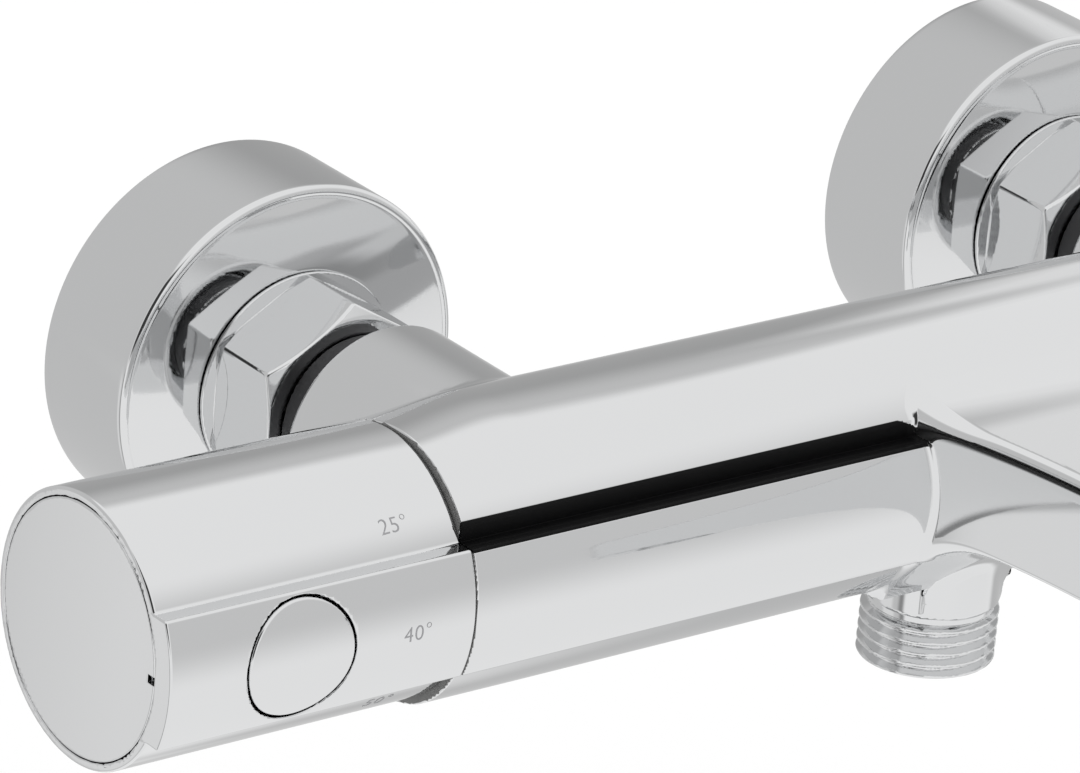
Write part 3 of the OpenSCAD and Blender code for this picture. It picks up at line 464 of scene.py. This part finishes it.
COARSE = 1.0
grid_x = mirrored(
    (0, 12, 0.9 * COARSE), (12, 22, 0.2 * COARSE), (22, 27, 0.5 * COARSE), (27, 55, 1.6),
    (55, 94, 0.7 * COARSE), (94, 99.0, 0.9), (99.0, 100.8, 0.2 * COARSE),
)
grid_y = steps(
    (-127.8, -108, 0.6 * COARSE), (-108, -25, 0.9 * COARSE), (-25, -16, 0.25 * COARSE),
    (-16, 20, 0.8 * COARSE), (20, 35, 0.7 * COARSE), (35, 44, 0.3 * COARSE),
)
grid_z = steps(
    (-25.3, -17.5, 0.5 * COARSE), (-17.5, -11, 0.7 * COARSE), (-11, -9, 0.25 * COARSE),
    (-9, -6, 0.6 * COARSE), (-6, -3, 0.25 * COARSE), (-3, 8.8, 0.7 * COARSE),
    (8.8, 14, 0.2 * COARSE), (14, 23, 0.6 * COARSE),
)
points, quads, normals = isosurface(casting, grid_x, grid_y, grid_z)
piece = new_piece("casting", points, quads, "mixer", CHROME, ["body_casting"], normals)
# Painted shade: the neck behind each boss, a recess, gets a dark metal in place of the
# chrome's shading there, and so does the step round each end of the barrel, along the seam to
# the handle.
NECK_FROM, NECK_TO, STEP_FROM = BOSS_Y + 0.15, 46, BODY_L - 0.12
repaint(piece, "raw_metal", lambda x, y, z: (y > NECK_FROM) & (y < NECK_TO))
# painted shadow in the seam between the barrel's end and the handle
repaint(piece, "end_metal", lambda x, y, z: np.abs(x) > STEP_FROM)

STRIP_X = steps((16.6, 22, 0.16), (22, 27, 0.3), (27, 99, 1.6), (99, 100.8, 0.2))
STRIP_GRID = (steps((-23.2, -16.2, 0.14)), steps((8.6, 13.4, 0.12)))
for side, name in ((-1, "left"), (1, "right")):
    points, quads, normals = isosurface(strip, np.sort(side * STRIP_X), *STRIP_GRID)
    new_piece("trim_" + name, points, quads, "mixer", "black_trim", ["trim_strip_" + name],
              normals)

# Handles, drawn on the +X side and mirrored for the left one: u runs outward -------------

# Shell with the grip pad on its front, and its bore
HANDLE_R, HANDLE_U0, HANDLE_U1, HANDLE_EDGE = 20.0, 100.5, 151.7, 0.5
PAD_EDGE, PAD_FILLET = 0.4, 0.25
SHELL_BORE, BORE_LAP, BORE_EDGE = 17.5, 0.5, 0.1
# Stop rib at the bottom of the bore: radii, ends and half its angle
RIB_IN, RIB_LAP, RIB_U0, RIB_U1, RIB_TURN = 15.9, 1.0, 101.7, 103.5, math.radians(5)
# Cap, its seat and its pry notch
CAP_R, CAP_T, CAP_GAP, CAP_EDGE, SEAT_EDGE = 18.6, 2.0, 0.1, 0.3, 0.2
NOTCH_HALF, NOTCH_DEPTH, NOTCH_EDGE = 0.6, 1.6, 0.12
# Button, the hole round it, its stem and the catch at the stem's end
BUTTON_U, BUTTON_R, BUTTON_GAP, BUTTON_BACK, HOLE_EDGE = 129.8, 8.8, 0.3, 19.0, 0.3
RIM_EDGE, BACK_EDGE = 0.4, 0.3
STEM_R, STEM_END, STEM_LAP, STEM_FILLET = 3.0, 8.0, 0.5, 0.4
CATCH_R, CATCH_Y, CATCH_EDGE = 3.6, 9.1, 0.3


def handle_shell(u, y, z):
    length = span(u, HANDLE_U0, HANDLE_U1)
    r = np.hypot(y, z)
    pad = np.maximum(common(r - VISOR_R, np.abs(z) - VISOR_H, VISOR_EDGE), y)
    d = joined(common(r - HANDLE_R, length, HANDLE_EDGE), common(pad, length, PAD_EDGE),
               PAD_FILLET)
    d = without(d, np.maximum(r - SHELL_BORE, u - HANDLE_U1 + CAP_T - BORE_LAP), BORE_EDGE)
    d = without(d, np.maximum(r - CAP_R - CAP_GAP, HANDLE_U1 - CAP_T - u), SEAT_EDGE)
    hole = np.maximum(np.hypot(u - BUTTON_U, z) - BUTTON_R - BUTTON_GAP, y)
    d = without(d, hole, HOLE_EDGE)
    rib = np.maximum(np.maximum(r - HANDLE_R + RIB_LAP, RIB_IN - r), span(u, RIB_U0, RIB_U1))
    rib = np.maximum(rib, np.abs(y) * math.cos(RIB_TURN) + z * math.sin(RIB_TURN))
    return np.minimum(d, np.maximum(rib, z))


def handle_cap(u, y, z):
    d = rod(y, z, u, CAP_R, HANDLE_U1 - CAP_T, HANDLE_U1, CAP_EDGE)
    notch = np.maximum(np.abs(z) - NOTCH_HALF, y + CAP_R - NOTCH_DEPTH)
    return without(d, np.maximum(notch, HANDLE_U1 - CAP_T - 1 - u), NOTCH_EDGE)


def button(u, y, z):
    r = np.hypot(u - BUTTON_U, z)
    head = common(r - BUTTON_R, np.hypot(y, z) - VISOR_R, RIM_EDGE)
    head = common(head, y + BUTTON_BACK, BACK_EDGE)
    stem = np.maximum(r - STEM_R, span(y, -BUTTON_BACK - STEM_LAP, -STEM_END))
    catch = common(r - CATCH_R, span(y, -CATCH_Y, -STEM_END), CATCH_EDGE)
    return np.minimum(joined(head, stem, STEM_FILLET), catch)


SHELL_GRID = (
    steps((100.4, 103.8, 0.2), (103.8, 119.5, 1.3), (119.5, 140.2, 0.45),
          (140.2, 149, 1.2), (149, 152, 0.16)),
    steps((-23, -16, 0.3), (-16, 20.6, 0.75)),
    steps((-20.6, -10.5, 0.7), (-10.5, -9, 0.16), (-9, 9, 0.6), (9, 10.5, 0.16),
          (10.5, 20.6, 0.7)),
)
CAP_GRID = (
    steps((149.3, 152, 0.12)),
    steps((-19, -16.4, 0.16), (-16.4, 19, 0.6)),
    steps((-19, -1.2, 0.6), (-1.2, 1.2, 0.14), (1.2, 19, 0.6)),
)
BUTTON_GRID = (
    steps((120.6, 139, 0.3)),
    steps((-22.9, -18.2, 0.2), (-18.2, -7.6, 0.4)),
    steps((-9.2, 9.2, 0.3)),
)
HANDLE_PARTS = (
    (handle_shell, SHELL_GRID, "_handle_shell", "_handle"),
    (handle_cap, CAP_GRID, "_handle_cap", "_handle"),
    (button, BUTTON_GRID, "_button", "_button"),
)
for side, name in ((-1, "temperature"), (1, "flow")):
    for shape, grid, part, body in HANDLE_PARTS:
        points, quads, normals = isosurface(shape, *grid)
        points[:, 0] = side * np.clip(points[:, 0], HANDLE_U0, HANDLE_U1)
        normals[:, 0] *= side
        new_piece(name + part + "_look", points, quads[:, ::side], name + body, CHROME,
                  [name + part], normals)

# Numbers of the temperature scale, set in a plain face and laid round the handle ---------

# Place and size of the letters, and how far they stand out of the face and reach into it
MARK_X, MARK_SIZE, MARK_H, MARK_SINK = -110.4, 3.3, 0.03, 0.05
# Spacing, change of the strokes' width, steps of a curve, and the longest undivided edge
MARK_SPACING, MARK_THIN, MARK_CURVES, MARK_EDGE = 1.08, -0.035, 5, 0.4
# Number, turn in degrees from the front, and radius of the face that it lies on
MARKS = (("25", 41.7, HANDLE_R), ("40", 0.0, VISOR_R), ("50", -43.5, HANDLE_R))


def letters(text):
    """Flat triangles of a text, with its long edges divided."""
    curve = bpy.data.curves.new("mark", "FONT")
    curve.body = text
    curve.size = MARK_SIZE
    curve.align_x, curve.align_y = "CENTER", "CENTER"
    curve.space_character = MARK_SPACING
    curve.offset = MARK_THIN
    curve.resolution_u = MARK_CURVES
    obj = add_object("mark", curve)
    bm = bmesh.new()
    bm.from_mesh(bpy.data.meshes.new_from_object(obj))
    bpy.data.objects.remove(obj)
    bmesh.ops.triangulate(bm, faces=bm.faces)
    long_edges = [e for e in bm.edges if e.calc_length() > MARK_EDGE]
    bmesh.ops.subdivide_edges(bm, edges=long_edges, cuts=2)
    bmesh.ops.triangulate(bm, faces=bm.faces)
    return bm


for number, turn, r in MARKS:
    bm = letters(number + "\u00b0")
    made = bmesh.ops.extrude_face_region(bm, geom=bm.faces)
    bmesh.ops.triangulate(bm, faces=bm.faces)
    outer = {v for v in made["geom"] if isinstance(v, bmesh.types.BMVert)}
    for v in bm.verts:
        v.co.z = r + MARK_H if v in outer else r - MARK_SINK
        angle = math.radians(turn) + v.co.y / r
        v.co = (MARK_X + v.co.x, -v.co.z * math.cos(angle), v.co.z * math.sin(angle))
    bmesh.ops.recalc_face_normals(bm, faces=bm.faces)
    bm.verts.index_update()
    faces = np.array([[v.index for v in f.verts] for f in bm.faces])
    new_piece("scale_mark_" + number, [v.co for v in bm.verts], faces,
              "temperature_handle", "dark_plastic", sharp=30, paint="mark_grey")
    bm.free()

# Union nuts and wall unions, drawn round Y -----------------------------------------------

# Nut: width over flats, ends, thin flange at its wall end, seat bore and thread bore
NUT_AF, NUT_Y0, NUT_Y1, NUT_HEX_EDGE, NUT_EDGE = 30.0, 43.6, 57.8, 0.35, 0.3
NUT_CORNER, NUT_FLANGE, FLANGE_EDGE, FLANGE_FILLET = NUT_AF / math.sqrt(3), 0.6, 0.2, 0.15
SEAT_R, NUT_GAP, NUT_THREAD_Y = 10.8, 0.1, 47.0
# How the corners of a hexagon turn away towards its ends
CONE_SLOPE, CONE_EASE = 0.6, 0.1
# Union: threaded end, hexagon, round part behind it, and the part that lies lower by DROP
UNION_Y0, UNION_R, UNION_EDGE = 51.6, 13.22, 0.3
COLLAR_Y0, COLLAR_Y1, COLLAR_HEX_EDGE, COLLAR_EDGE = 59.4, 67.3, 0.5, 0.4
COLLAR_RIM, COLLAR_FILLET = 0.25, 0.3
SHOULDER_Y, ROUND_LAP, ROUND_OVER, ROUND_EDGE, ROUND_FILLET = 71.8, 1.3, 0.05, 0.4, 0.2
DROP, UNION_END_R, THREAD_Y, END_FILLET = 5.0, 13.4, 76.772, 0.4
WALL_THREAD, WALL_THREAD_Y0, WALL_THREAD_EDGE = 14.0, 76.3, 0.5
UNION_BORE, BORE_Y0, BORE_Y1 = 8.0, 65.5, 69.5
# Half inch pipe thread: crest radius, pitch, depth, and the form of its flanks
HALF_R, PITCH, THREAD_H = 10.48, 1.814, 1.16
FLANK_RISE, FLANK_START, THREAD_SCALE = 1.55, 0.3, 0.7


def hexagon(x, z, flats, edge):
    d = np.abs(x) - flats / 2
    for turn in (60, -60):
        n = math.radians(turn)
        d = common(d, np.abs(x * math.cos(n) + z * math.sin(n)) - flats / 2, edge)
    return d


def end_cone(r, inward, flats):
    """Turns the corners of a hexagon away towards an end; inward is the distance from it."""
    d = r - flats / 2 - CONE_EASE - inward / CONE_SLOPE
    return d * CONE_SLOPE / math.hypot(1, CONE_SLOPE)


def thread(x, z, w, crest, hand=1):
    """A helical thread about the w axis. In its uses here hand 1 winds left, -1 right."""
    phase = (w / PITCH - hand * np.arctan2(z, x) / (2 * math.pi)) % 1.0
    root = np.clip(np.abs(phase - 0.5) * 2 * FLANK_RISE - FLANK_START, 0, 1)
    return (np.hypot(x, z) - crest + THREAD_H * root) * THREAD_SCALE


def union_nut(x, y, z):
    r = np.hypot(x, z)
    inward = np.minimum(y - NUT_Y0, NUT_Y1 - NUT_FLANGE / 2 - y)
    d = common(hexagon(x, z, NUT_AF, NUT_HEX_EDGE), end_cone(r, inward, NUT_AF), NUT_EDGE)
    d = common(d, NUT_Y0 - y, NUT_EDGE)
    flange = common(r - NUT_CORNER, span(y, NUT_Y1 - NUT_FLANGE, NUT_Y1), FLANGE_EDGE)
    d = joined(d, flange, FLANGE_FILLET)
    d = without(d, np.maximum(r - SEAT_R - NUT_GAP, NUT_Y0 - 1 - y), NUT_EDGE)
    return without(d, np.maximum(r - UNION_R - NUT_GAP, NUT_THREAD_Y - y), NUT_EDGE)


def wall_union(x, y, z):
    r = np.hypot(x, z)
    low = np.hypot(x, z + DROP)
    d = common(thread(x, z, y, UNION_R), span(y, UNION_Y0, COLLAR_Y0 + 1), UNION_EDGE)
    inward = np.minimum(y - COLLAR_Y0, COLLAR_Y1 - y)
    collar = common(hexagon(x, z, NUT_AF, COLLAR_HEX_EDGE), end_cone(r, inward, NUT_AF),
                    COLLAR_EDGE)
    d = joined(d, common(collar, -inward, COLLAR_RIM), COLLAR_FILLET)
    shank = common(r - NUT_CORNER - ROUND_OVER, span(y, COLLAR_Y1 - ROUND_LAP, SHOULDER_Y),
                   ROUND_EDGE)
    d = joined(d, shank, ROUND_FILLET)
    end = np.maximum(low - UNION_END_R + THREAD_H, span(y, SHOULDER_Y - 1, THREAD_Y))
    d = joined(d, end, END_FILLET)
    male = thread(x, z + DROP, y, HALF_R)
    length = span(y, WALL_THREAD_Y0, WALL_Y + WALL_THREAD)
    d = np.minimum(d, common(male, length, WALL_THREAD_EDGE))
    d = np.maximum(d, -np.maximum(r - UNION_BORE, y - BORE_Y1))
    return np.maximum(d, -np.maximum(low - UNION_BORE, BORE_Y0 - y))


NUT_GRID = (
    steps((-18, 18, 0.36)),
    steps((43.3, 45, 0.14), (45, 56.8, 0.27), (56.8, 58.1, 0.12)),
    steps((-18, 18, 0.36)),
)
UNION_GRID = (steps((-18, 18, 0.5)), steps((51.2, 94.8, 0.28)), steps((-18.4, 18, 0.5)))
INLETS = ((-1, "hot"), (1, "cold"))
for shape, grid, part in ((union_nut, NUT_GRID, "union_nut_"),
                          (wall_union, UNION_GRID, "wall_union_")):
    points, quads, normals = isosurface(shape, *grid)
    for side, name in INLETS:
        new_piece(part + name + "_look", points + (side * INLET_X, 0, 0), quads, "mixer",
                  CHROME, [part + name], normals)

# Escutcheons: sheet turned about Y -------------------------------------------------------

# Outside radius, sheet, rim and foot; the face with its flat middle, dome and hole; and
# the fall from the rim into the groove round the face, as distances in from the rim
ESC_R, ESC_T, RIM_R, RIM_Y, FOOT_R, ESC_SIDES = 29.99, 1.2, 1.0, 59.8, 0.2, 192
FACE_R, FACE_END_R, FACE_BACK, DOME_R, HOLE_R, HOLE_EASE = 17.4, 28.4, 0.6, 140.0, 13.52, 0.2
GROOVE, FALL_START, FALL_END, FALL_STEP = 0.12, 0.25, 0.45, 0.02


def turned(profile, sides, x0):
    """Points and quads of a closed profile of (radius, y) turned about the Y axis at x0."""
    profile = np.array(profile)
    turns = np.arange(sides) * 2 * math.pi / sides
    x = x0 + profile[None, :, 0] * np.cos(turns)[:, None]
    z = profile[None, :, 0] * np.sin(turns)[:, None]
    y = np.broadcast_to(profile[None, :, 1], x.shape)
    n = len(profile)
    i, j = np.meshgrid(np.arange(sides), np.arange(n), indexing="ij")
    a, b = i * n + j, i * n + (j + 1) % n
    c, d = (i + 1) % sides * n + (j + 1) % n, (i + 1) % sides * n + j
    return np.stack([x, y, z], -1).reshape(-1, 3), np.stack([a, b, c, d], -1).reshape(-1, 4)


def bend(cx, cy, r, start, end, count):
    turns = np.radians(np.linspace(start, end, count))
    return [(cx + r * math.cos(t), cy + r * math.sin(t)) for t in turns]


def face(r):
    """Y of the domed face at radius r; inside FACE_R it is flat."""
    return RIM_Y + GROOVE - (FACE_END_R ** 2 - max(r, FACE_R) ** 2) / (2 * DOME_R)


profile = [(ESC_R - ESC_T, WALL_Y)]
profile += bend(ESC_R - FOOT_R, WALL_Y - FOOT_R, FOOT_R, 90, 0, 4)
profile += [(ESC_R, y) for y in np.linspace(WALL_Y - 1, RIM_Y + RIM_R + 0.5, 8)]
profile += bend(ESC_R - RIM_R, RIM_Y + RIM_R, RIM_R, 0, -90, 14)
profile += [(ESC_R - RIM_R - FALL_START, RIM_Y + FALL_STEP)]
profile += [(ESC_R - RIM_R - FALL_END, RIM_Y + GROOVE)]
profile += [(r, face(r)) for r in np.linspace(FACE_END_R, FACE_R, 24)]
profile += [(r, face(r)) for r in ((FACE_R + HOLE_R) / 2, HOLE_R + HOLE_EASE)]
profile += [(HOLE_R, face(0) + HOLE_EASE), (HOLE_R, face(0) + ESC_T)]
profile += [(r, face(r) + ESC_T) for r in np.linspace(FACE_R, FACE_END_R - FACE_BACK, 12)]
profile += [(ESC_R - ESC_T, RIM_Y + 3 * RIM_R)]
for side, name in INLETS:
    points, quads = turned(profile, ESC_SIDES, side * INLET_X)
    new_piece("escutcheon_" + name + "_look", points, quads, "mixer", CHROME,
              ["escutcheon_" + name], sharp=40)

# Hose nipple and aerator -----------------------------------------------------------------

# Nipple, measured down from the hose outlet: thread, relief above it, and the shank with
# its bore, lip and floor inside the outlet
NIPPLE_L, NIPPLE_START, NIPPLE_PHASE, NIPPLE_EDGE = 9.8, 0.9, 0.4, 0.3
RELIEF_R, RELIEF_L, RELIEF_EDGE = 9.6, 1.2, 0.2
SHANK_R, SHANK_L, SHANK_FLOOR, LIP_R = 9.1, 5.0, 0.9, 6.4
NIPPLE_BORE, NIPPLE_BORE_EDGE = 8.0, 0.2
# Aerator housing, measured up from the spout's underside: flange, thread, bore and lip
AER_FLANGE_R, AER_FLANGE_L, AER_FLANGE_EDGE = 11.4, 3.5, 0.5
AER_THREAD_R, AER_THREAD_L, AER_THREAD_H, AER_THREAD_EDGE = 9.3, 6.0, 0.3, 0.3
AER_PITCH, AER_SCALE = 1.0, 0.9
AER_BORE, AER_BORE_EDGE, AER_LIP, AER_LIP_L, AER_LIP_EDGE = 8.2, 0.1, 7.4, 1.5, 0.4


def nipple(x, y, z):
    down = -(z + OUTLET_Z)
    y = y + OUTLET_Y
    r = np.hypot(x, y)
    male = thread(x, y, down - NIPPLE_PHASE, HALF_R, -1)
    d = common(male, span(down, NIPPLE_START, NIPPLE_L), NIPPLE_EDGE)
    d = np.minimum(d, common(r - RELIEF_R, span(down, 0, RELIEF_L), RELIEF_EDGE))
    d = np.minimum(d, np.maximum(r - SHANK_R, span(down, -SHANK_L, 1)))
    inner = np.maximum(r - NIPPLE_BORE, SHANK_FLOOR - SHANK_L - down)
    d = without(d, inner, NIPPLE_BORE_EDGE)
    return np.maximum(d, -np.maximum(r - LIP_R, down))


def aerator(x, y, z):
    r = np.hypot(x, y + SPOUT_REACH)
    h = z - SPOUT_BOTTOM
    d = common(r - AER_FLANGE_R, span(h, -AER_FLANGE_L, 0), AER_FLANGE_EDGE)
    groove = AER_THREAD_H * np.abs((h % AER_PITCH) - AER_PITCH / 2) * 2
    male = (r - AER_THREAD_R + groove) * AER_SCALE
    d = np.minimum(d, common(male, span(h, -1, AER_THREAD_L), AER_THREAD_EDGE))
    d = without(d, np.maximum(r - AER_BORE, AER_LIP_L - AER_FLANGE_L - h), AER_BORE_EDGE)
    return without(d, np.maximum(r - AER_LIP, h), AER_LIP_EDGE)


NIPPLE_GRID = (
    steps((-10.9, 10.9, 0.3)), steps((-15.4, 6.4, 0.3)),
    steps((-34.9, -24.4, 0.16), (-24.4, -19.4, 0.5)),
)
AERATOR_GRID = (
    steps((-11.8, 11.8, 0.32)), steps((-125.8, -102.2, 0.32)), steps((-8.2, 2.0, 0.2)),
)
for shape, grid, node in ((nipple, NIPPLE_GRID, "outlet_nipple"),
                          (aerator, AERATOR_GRID, "aerator_housing")):
    points, quads, normals = isosurface(shape, *grid)
    new_piece(node + "_look", points, quads, "mixer", CHROME, [node], normals)

# Camera, fitted to the outlines in the photograph together with the sizes ----------------

cam_data = bpy.data.cameras.new("camera")
cam = add_object("camera", cam_data)
right = Vector((0.79868515, -0.59635725, 0.0803745))
upward = Vector((0.17607943, 0.3593333, 0.91644728))
ahead = Vector((0.57541122, 0.71780053, -0.39200042))
place = Vector((-0.569447, -0.790994, 0.414585))
cam.matrix_world = Matrix((
    (right.x, upward.x, -ahead.x, place.x),
    (right.y, upward.y, -ahead.y, place.y),
    (right.z, upward.z, -ahead.z, place.z),
    (0, 0, 0, 1),
))
cam_data.sensor_width = 36
cam_data.lens = 232.63
cam_data.clip_start = 0.01
SCENE.camera = cam

# Studio ----------------------------------------------------------------------------------

SKY, FLOOR_Z, FLOOR_HALF = 0.86, -0.3, 6
TENT_R, TENT_PLACE = 0.5, (0.035, -0.0804, 0.005)
WHITE = (1, 1, 1, 1)


def blend_shaders(tree, share, first, second):
    inputs = (("Fac", share), (1, first.outputs[0]), (2, second.outputs[0]))
    return shader(tree, "MixShader", inputs).outputs["Shader"]


SCENE.view_settings.view_transform = "Standard"
world = bpy.data.worlds.new("studio")
SCENE.world = world
world.use_nodes = True
tree = world.node_tree
tree.nodes.clear()
rays = shader(tree, "LightPath").outputs
inputs = ((0, rays["Is Camera Ray"]), (1, rays["Is Glossy Ray"]))
seen = shader(tree, "Math", inputs, operation="ADD")
inputs = ((0, seen.outputs[0]), (1, rays["Is Transmission Ray"]))
shown = shader(tree, "Math", inputs, operation="ADD", use_clamp=True)
soft = shader(tree, "Background", (("Color", WHITE), ("Strength", SKY)))
white = shader(tree, "Background", (("Color", WHITE), ("Strength", 1.0)))
sky = blend_shaders(tree, shown.outputs[0], soft, white)
shader(tree, "OutputWorld", (("Surface", sky),))

sun_data = bpy.data.lights.new("key", "SUN")
sun_data.energy = 0.7
sun_data.angle = math.radians(50)
sun = add_object("key", sun_data)
sun.rotation_euler = (math.radians(28), math.radians(-16), 0)
sun.visible_glossy = False

# The floor takes the object's shadow and is plain white in reflections.
floor_mesh = bpy.data.meshes.new("floor")
corners = [(x * FLOOR_HALF, y * FLOOR_HALF, FLOOR_Z)
           for x, y in ((-1, -1), (1, -1), (1, 1), (-1, 1))]
floor_mesh.from_pydata(corners, [], [(0, 1, 2, 3)])
floor = add_object("floor", floor_mesh)
floor_mat, tree, bsdf = material("floor", (0.96, 0.96, 0.96), 0.0, 0.9)
bsdf.inputs["Specular IOR Level"].default_value = 0.0
rays = shader(tree, "LightPath").outputs
inputs = ((0, rays["Is Glossy Ray"]), (1, rays["Is Transmission Ray"]))
seen = shader(tree, "Math", inputs, operation="MAXIMUM")
surface = blend_shaders(tree, seen.outputs[0], bsdf, shader(tree, "Emission"))
tree.links.new(surface, tree.nodes["Material Output"].inputs["Surface"])
floor_mesh.materials.append(floor_mat)
floor.visible_glossy = False

# Soft-edged grey cards round the object, which only show in its reflections: azimuth (0 is
# the front, 90 the right side), elevation, half width, half height, soft edge, grey level.
CARDS = (
    (197, -3, 72, 50, 9, 0.66),
    (-122, -24, 14, 17, 8, 0.88),
    (150, 8, 20, 22, 24, 0.43),
    (127, 20, 9, 9, 8, 0.90),
    (110, -37, 32, 24, 14, 0.60),
    (37, 10, 34, 24, 30, 0.71),
    (-90, -25, 5, 22, 8, 0.30),
    (-60, 22, 24, 20, 10, 0.05),
)


def cards(directions):
    """How much the cards cover each direction, and their grey level there."""
    x, y, z = directions.T
    azimuth = np.degrees(np.arctan2(x, -y))
    elevation = np.degrees(np.arcsin(np.clip(z, -1, 1)))
    cover, level = np.zeros(len(x)), np.ones(len(x))
    for az, el, wide, high, edge, grey in CARDS:
        across = np.abs((azimuth - az + 180) % 360 - 180)
        a = smooth_step((wide - across) / edge + 0.5)
        a = a * smooth_step((high - np.abs(elevation - el)) / edge + 0.5)
        total = a + cover * (1 - a)
        mean = (grey * a + level * cover * (1 - a)) / np.maximum(total, 1e-6)
        cover, level = total, np.where(total > 0, mean, 1)
    return cover, level


tent = bmesh.new()
bmesh.ops.create_uvsphere(tent, u_segments=144, v_segments=72, radius=TENT_R)
tent_mesh = bpy.data.meshes.new("cards")
tent.to_mesh(tent_mesh)
tent.free()
tent_mesh.shade_smooth()
spots = np.array([v.co for v in tent_mesh.vertices])
cover, level = cards(spots / np.linalg.norm(spots, axis=1)[:, None])
for key, values in (("cover", cover), ("level", level)):
    layer = tent_mesh.attributes.new(key, "FLOAT", "POINT")
    layer.data.foreach_set("value", values.astype(np.float32))
studio = add_object("cards", tent_mesh)
studio.location = TENT_PLACE
for way in ("camera", "diffuse", "transmission", "volume_scatter", "shadow"):
    setattr(studio, "visible_" + way, False)
card_mat = bpy.data.materials.new("cards")
card_mat.use_nodes = True
tree = card_mat.node_tree
tree.nodes.clear()
share = shader(tree, "Attribute", attribute_name="cover").outputs["Fac"]
light = shader(tree, "Attribute", attribute_name="level").outputs["Fac"]
grey = shader(tree, "Emission", (("Strength", light),))
surface = blend_shaders(tree, share, shader(tree, "BsdfTransparent"), grey)
shader(tree, "OutputMaterial", (("Surface", surface),))
tent_mesh.materials.append(card_mat)
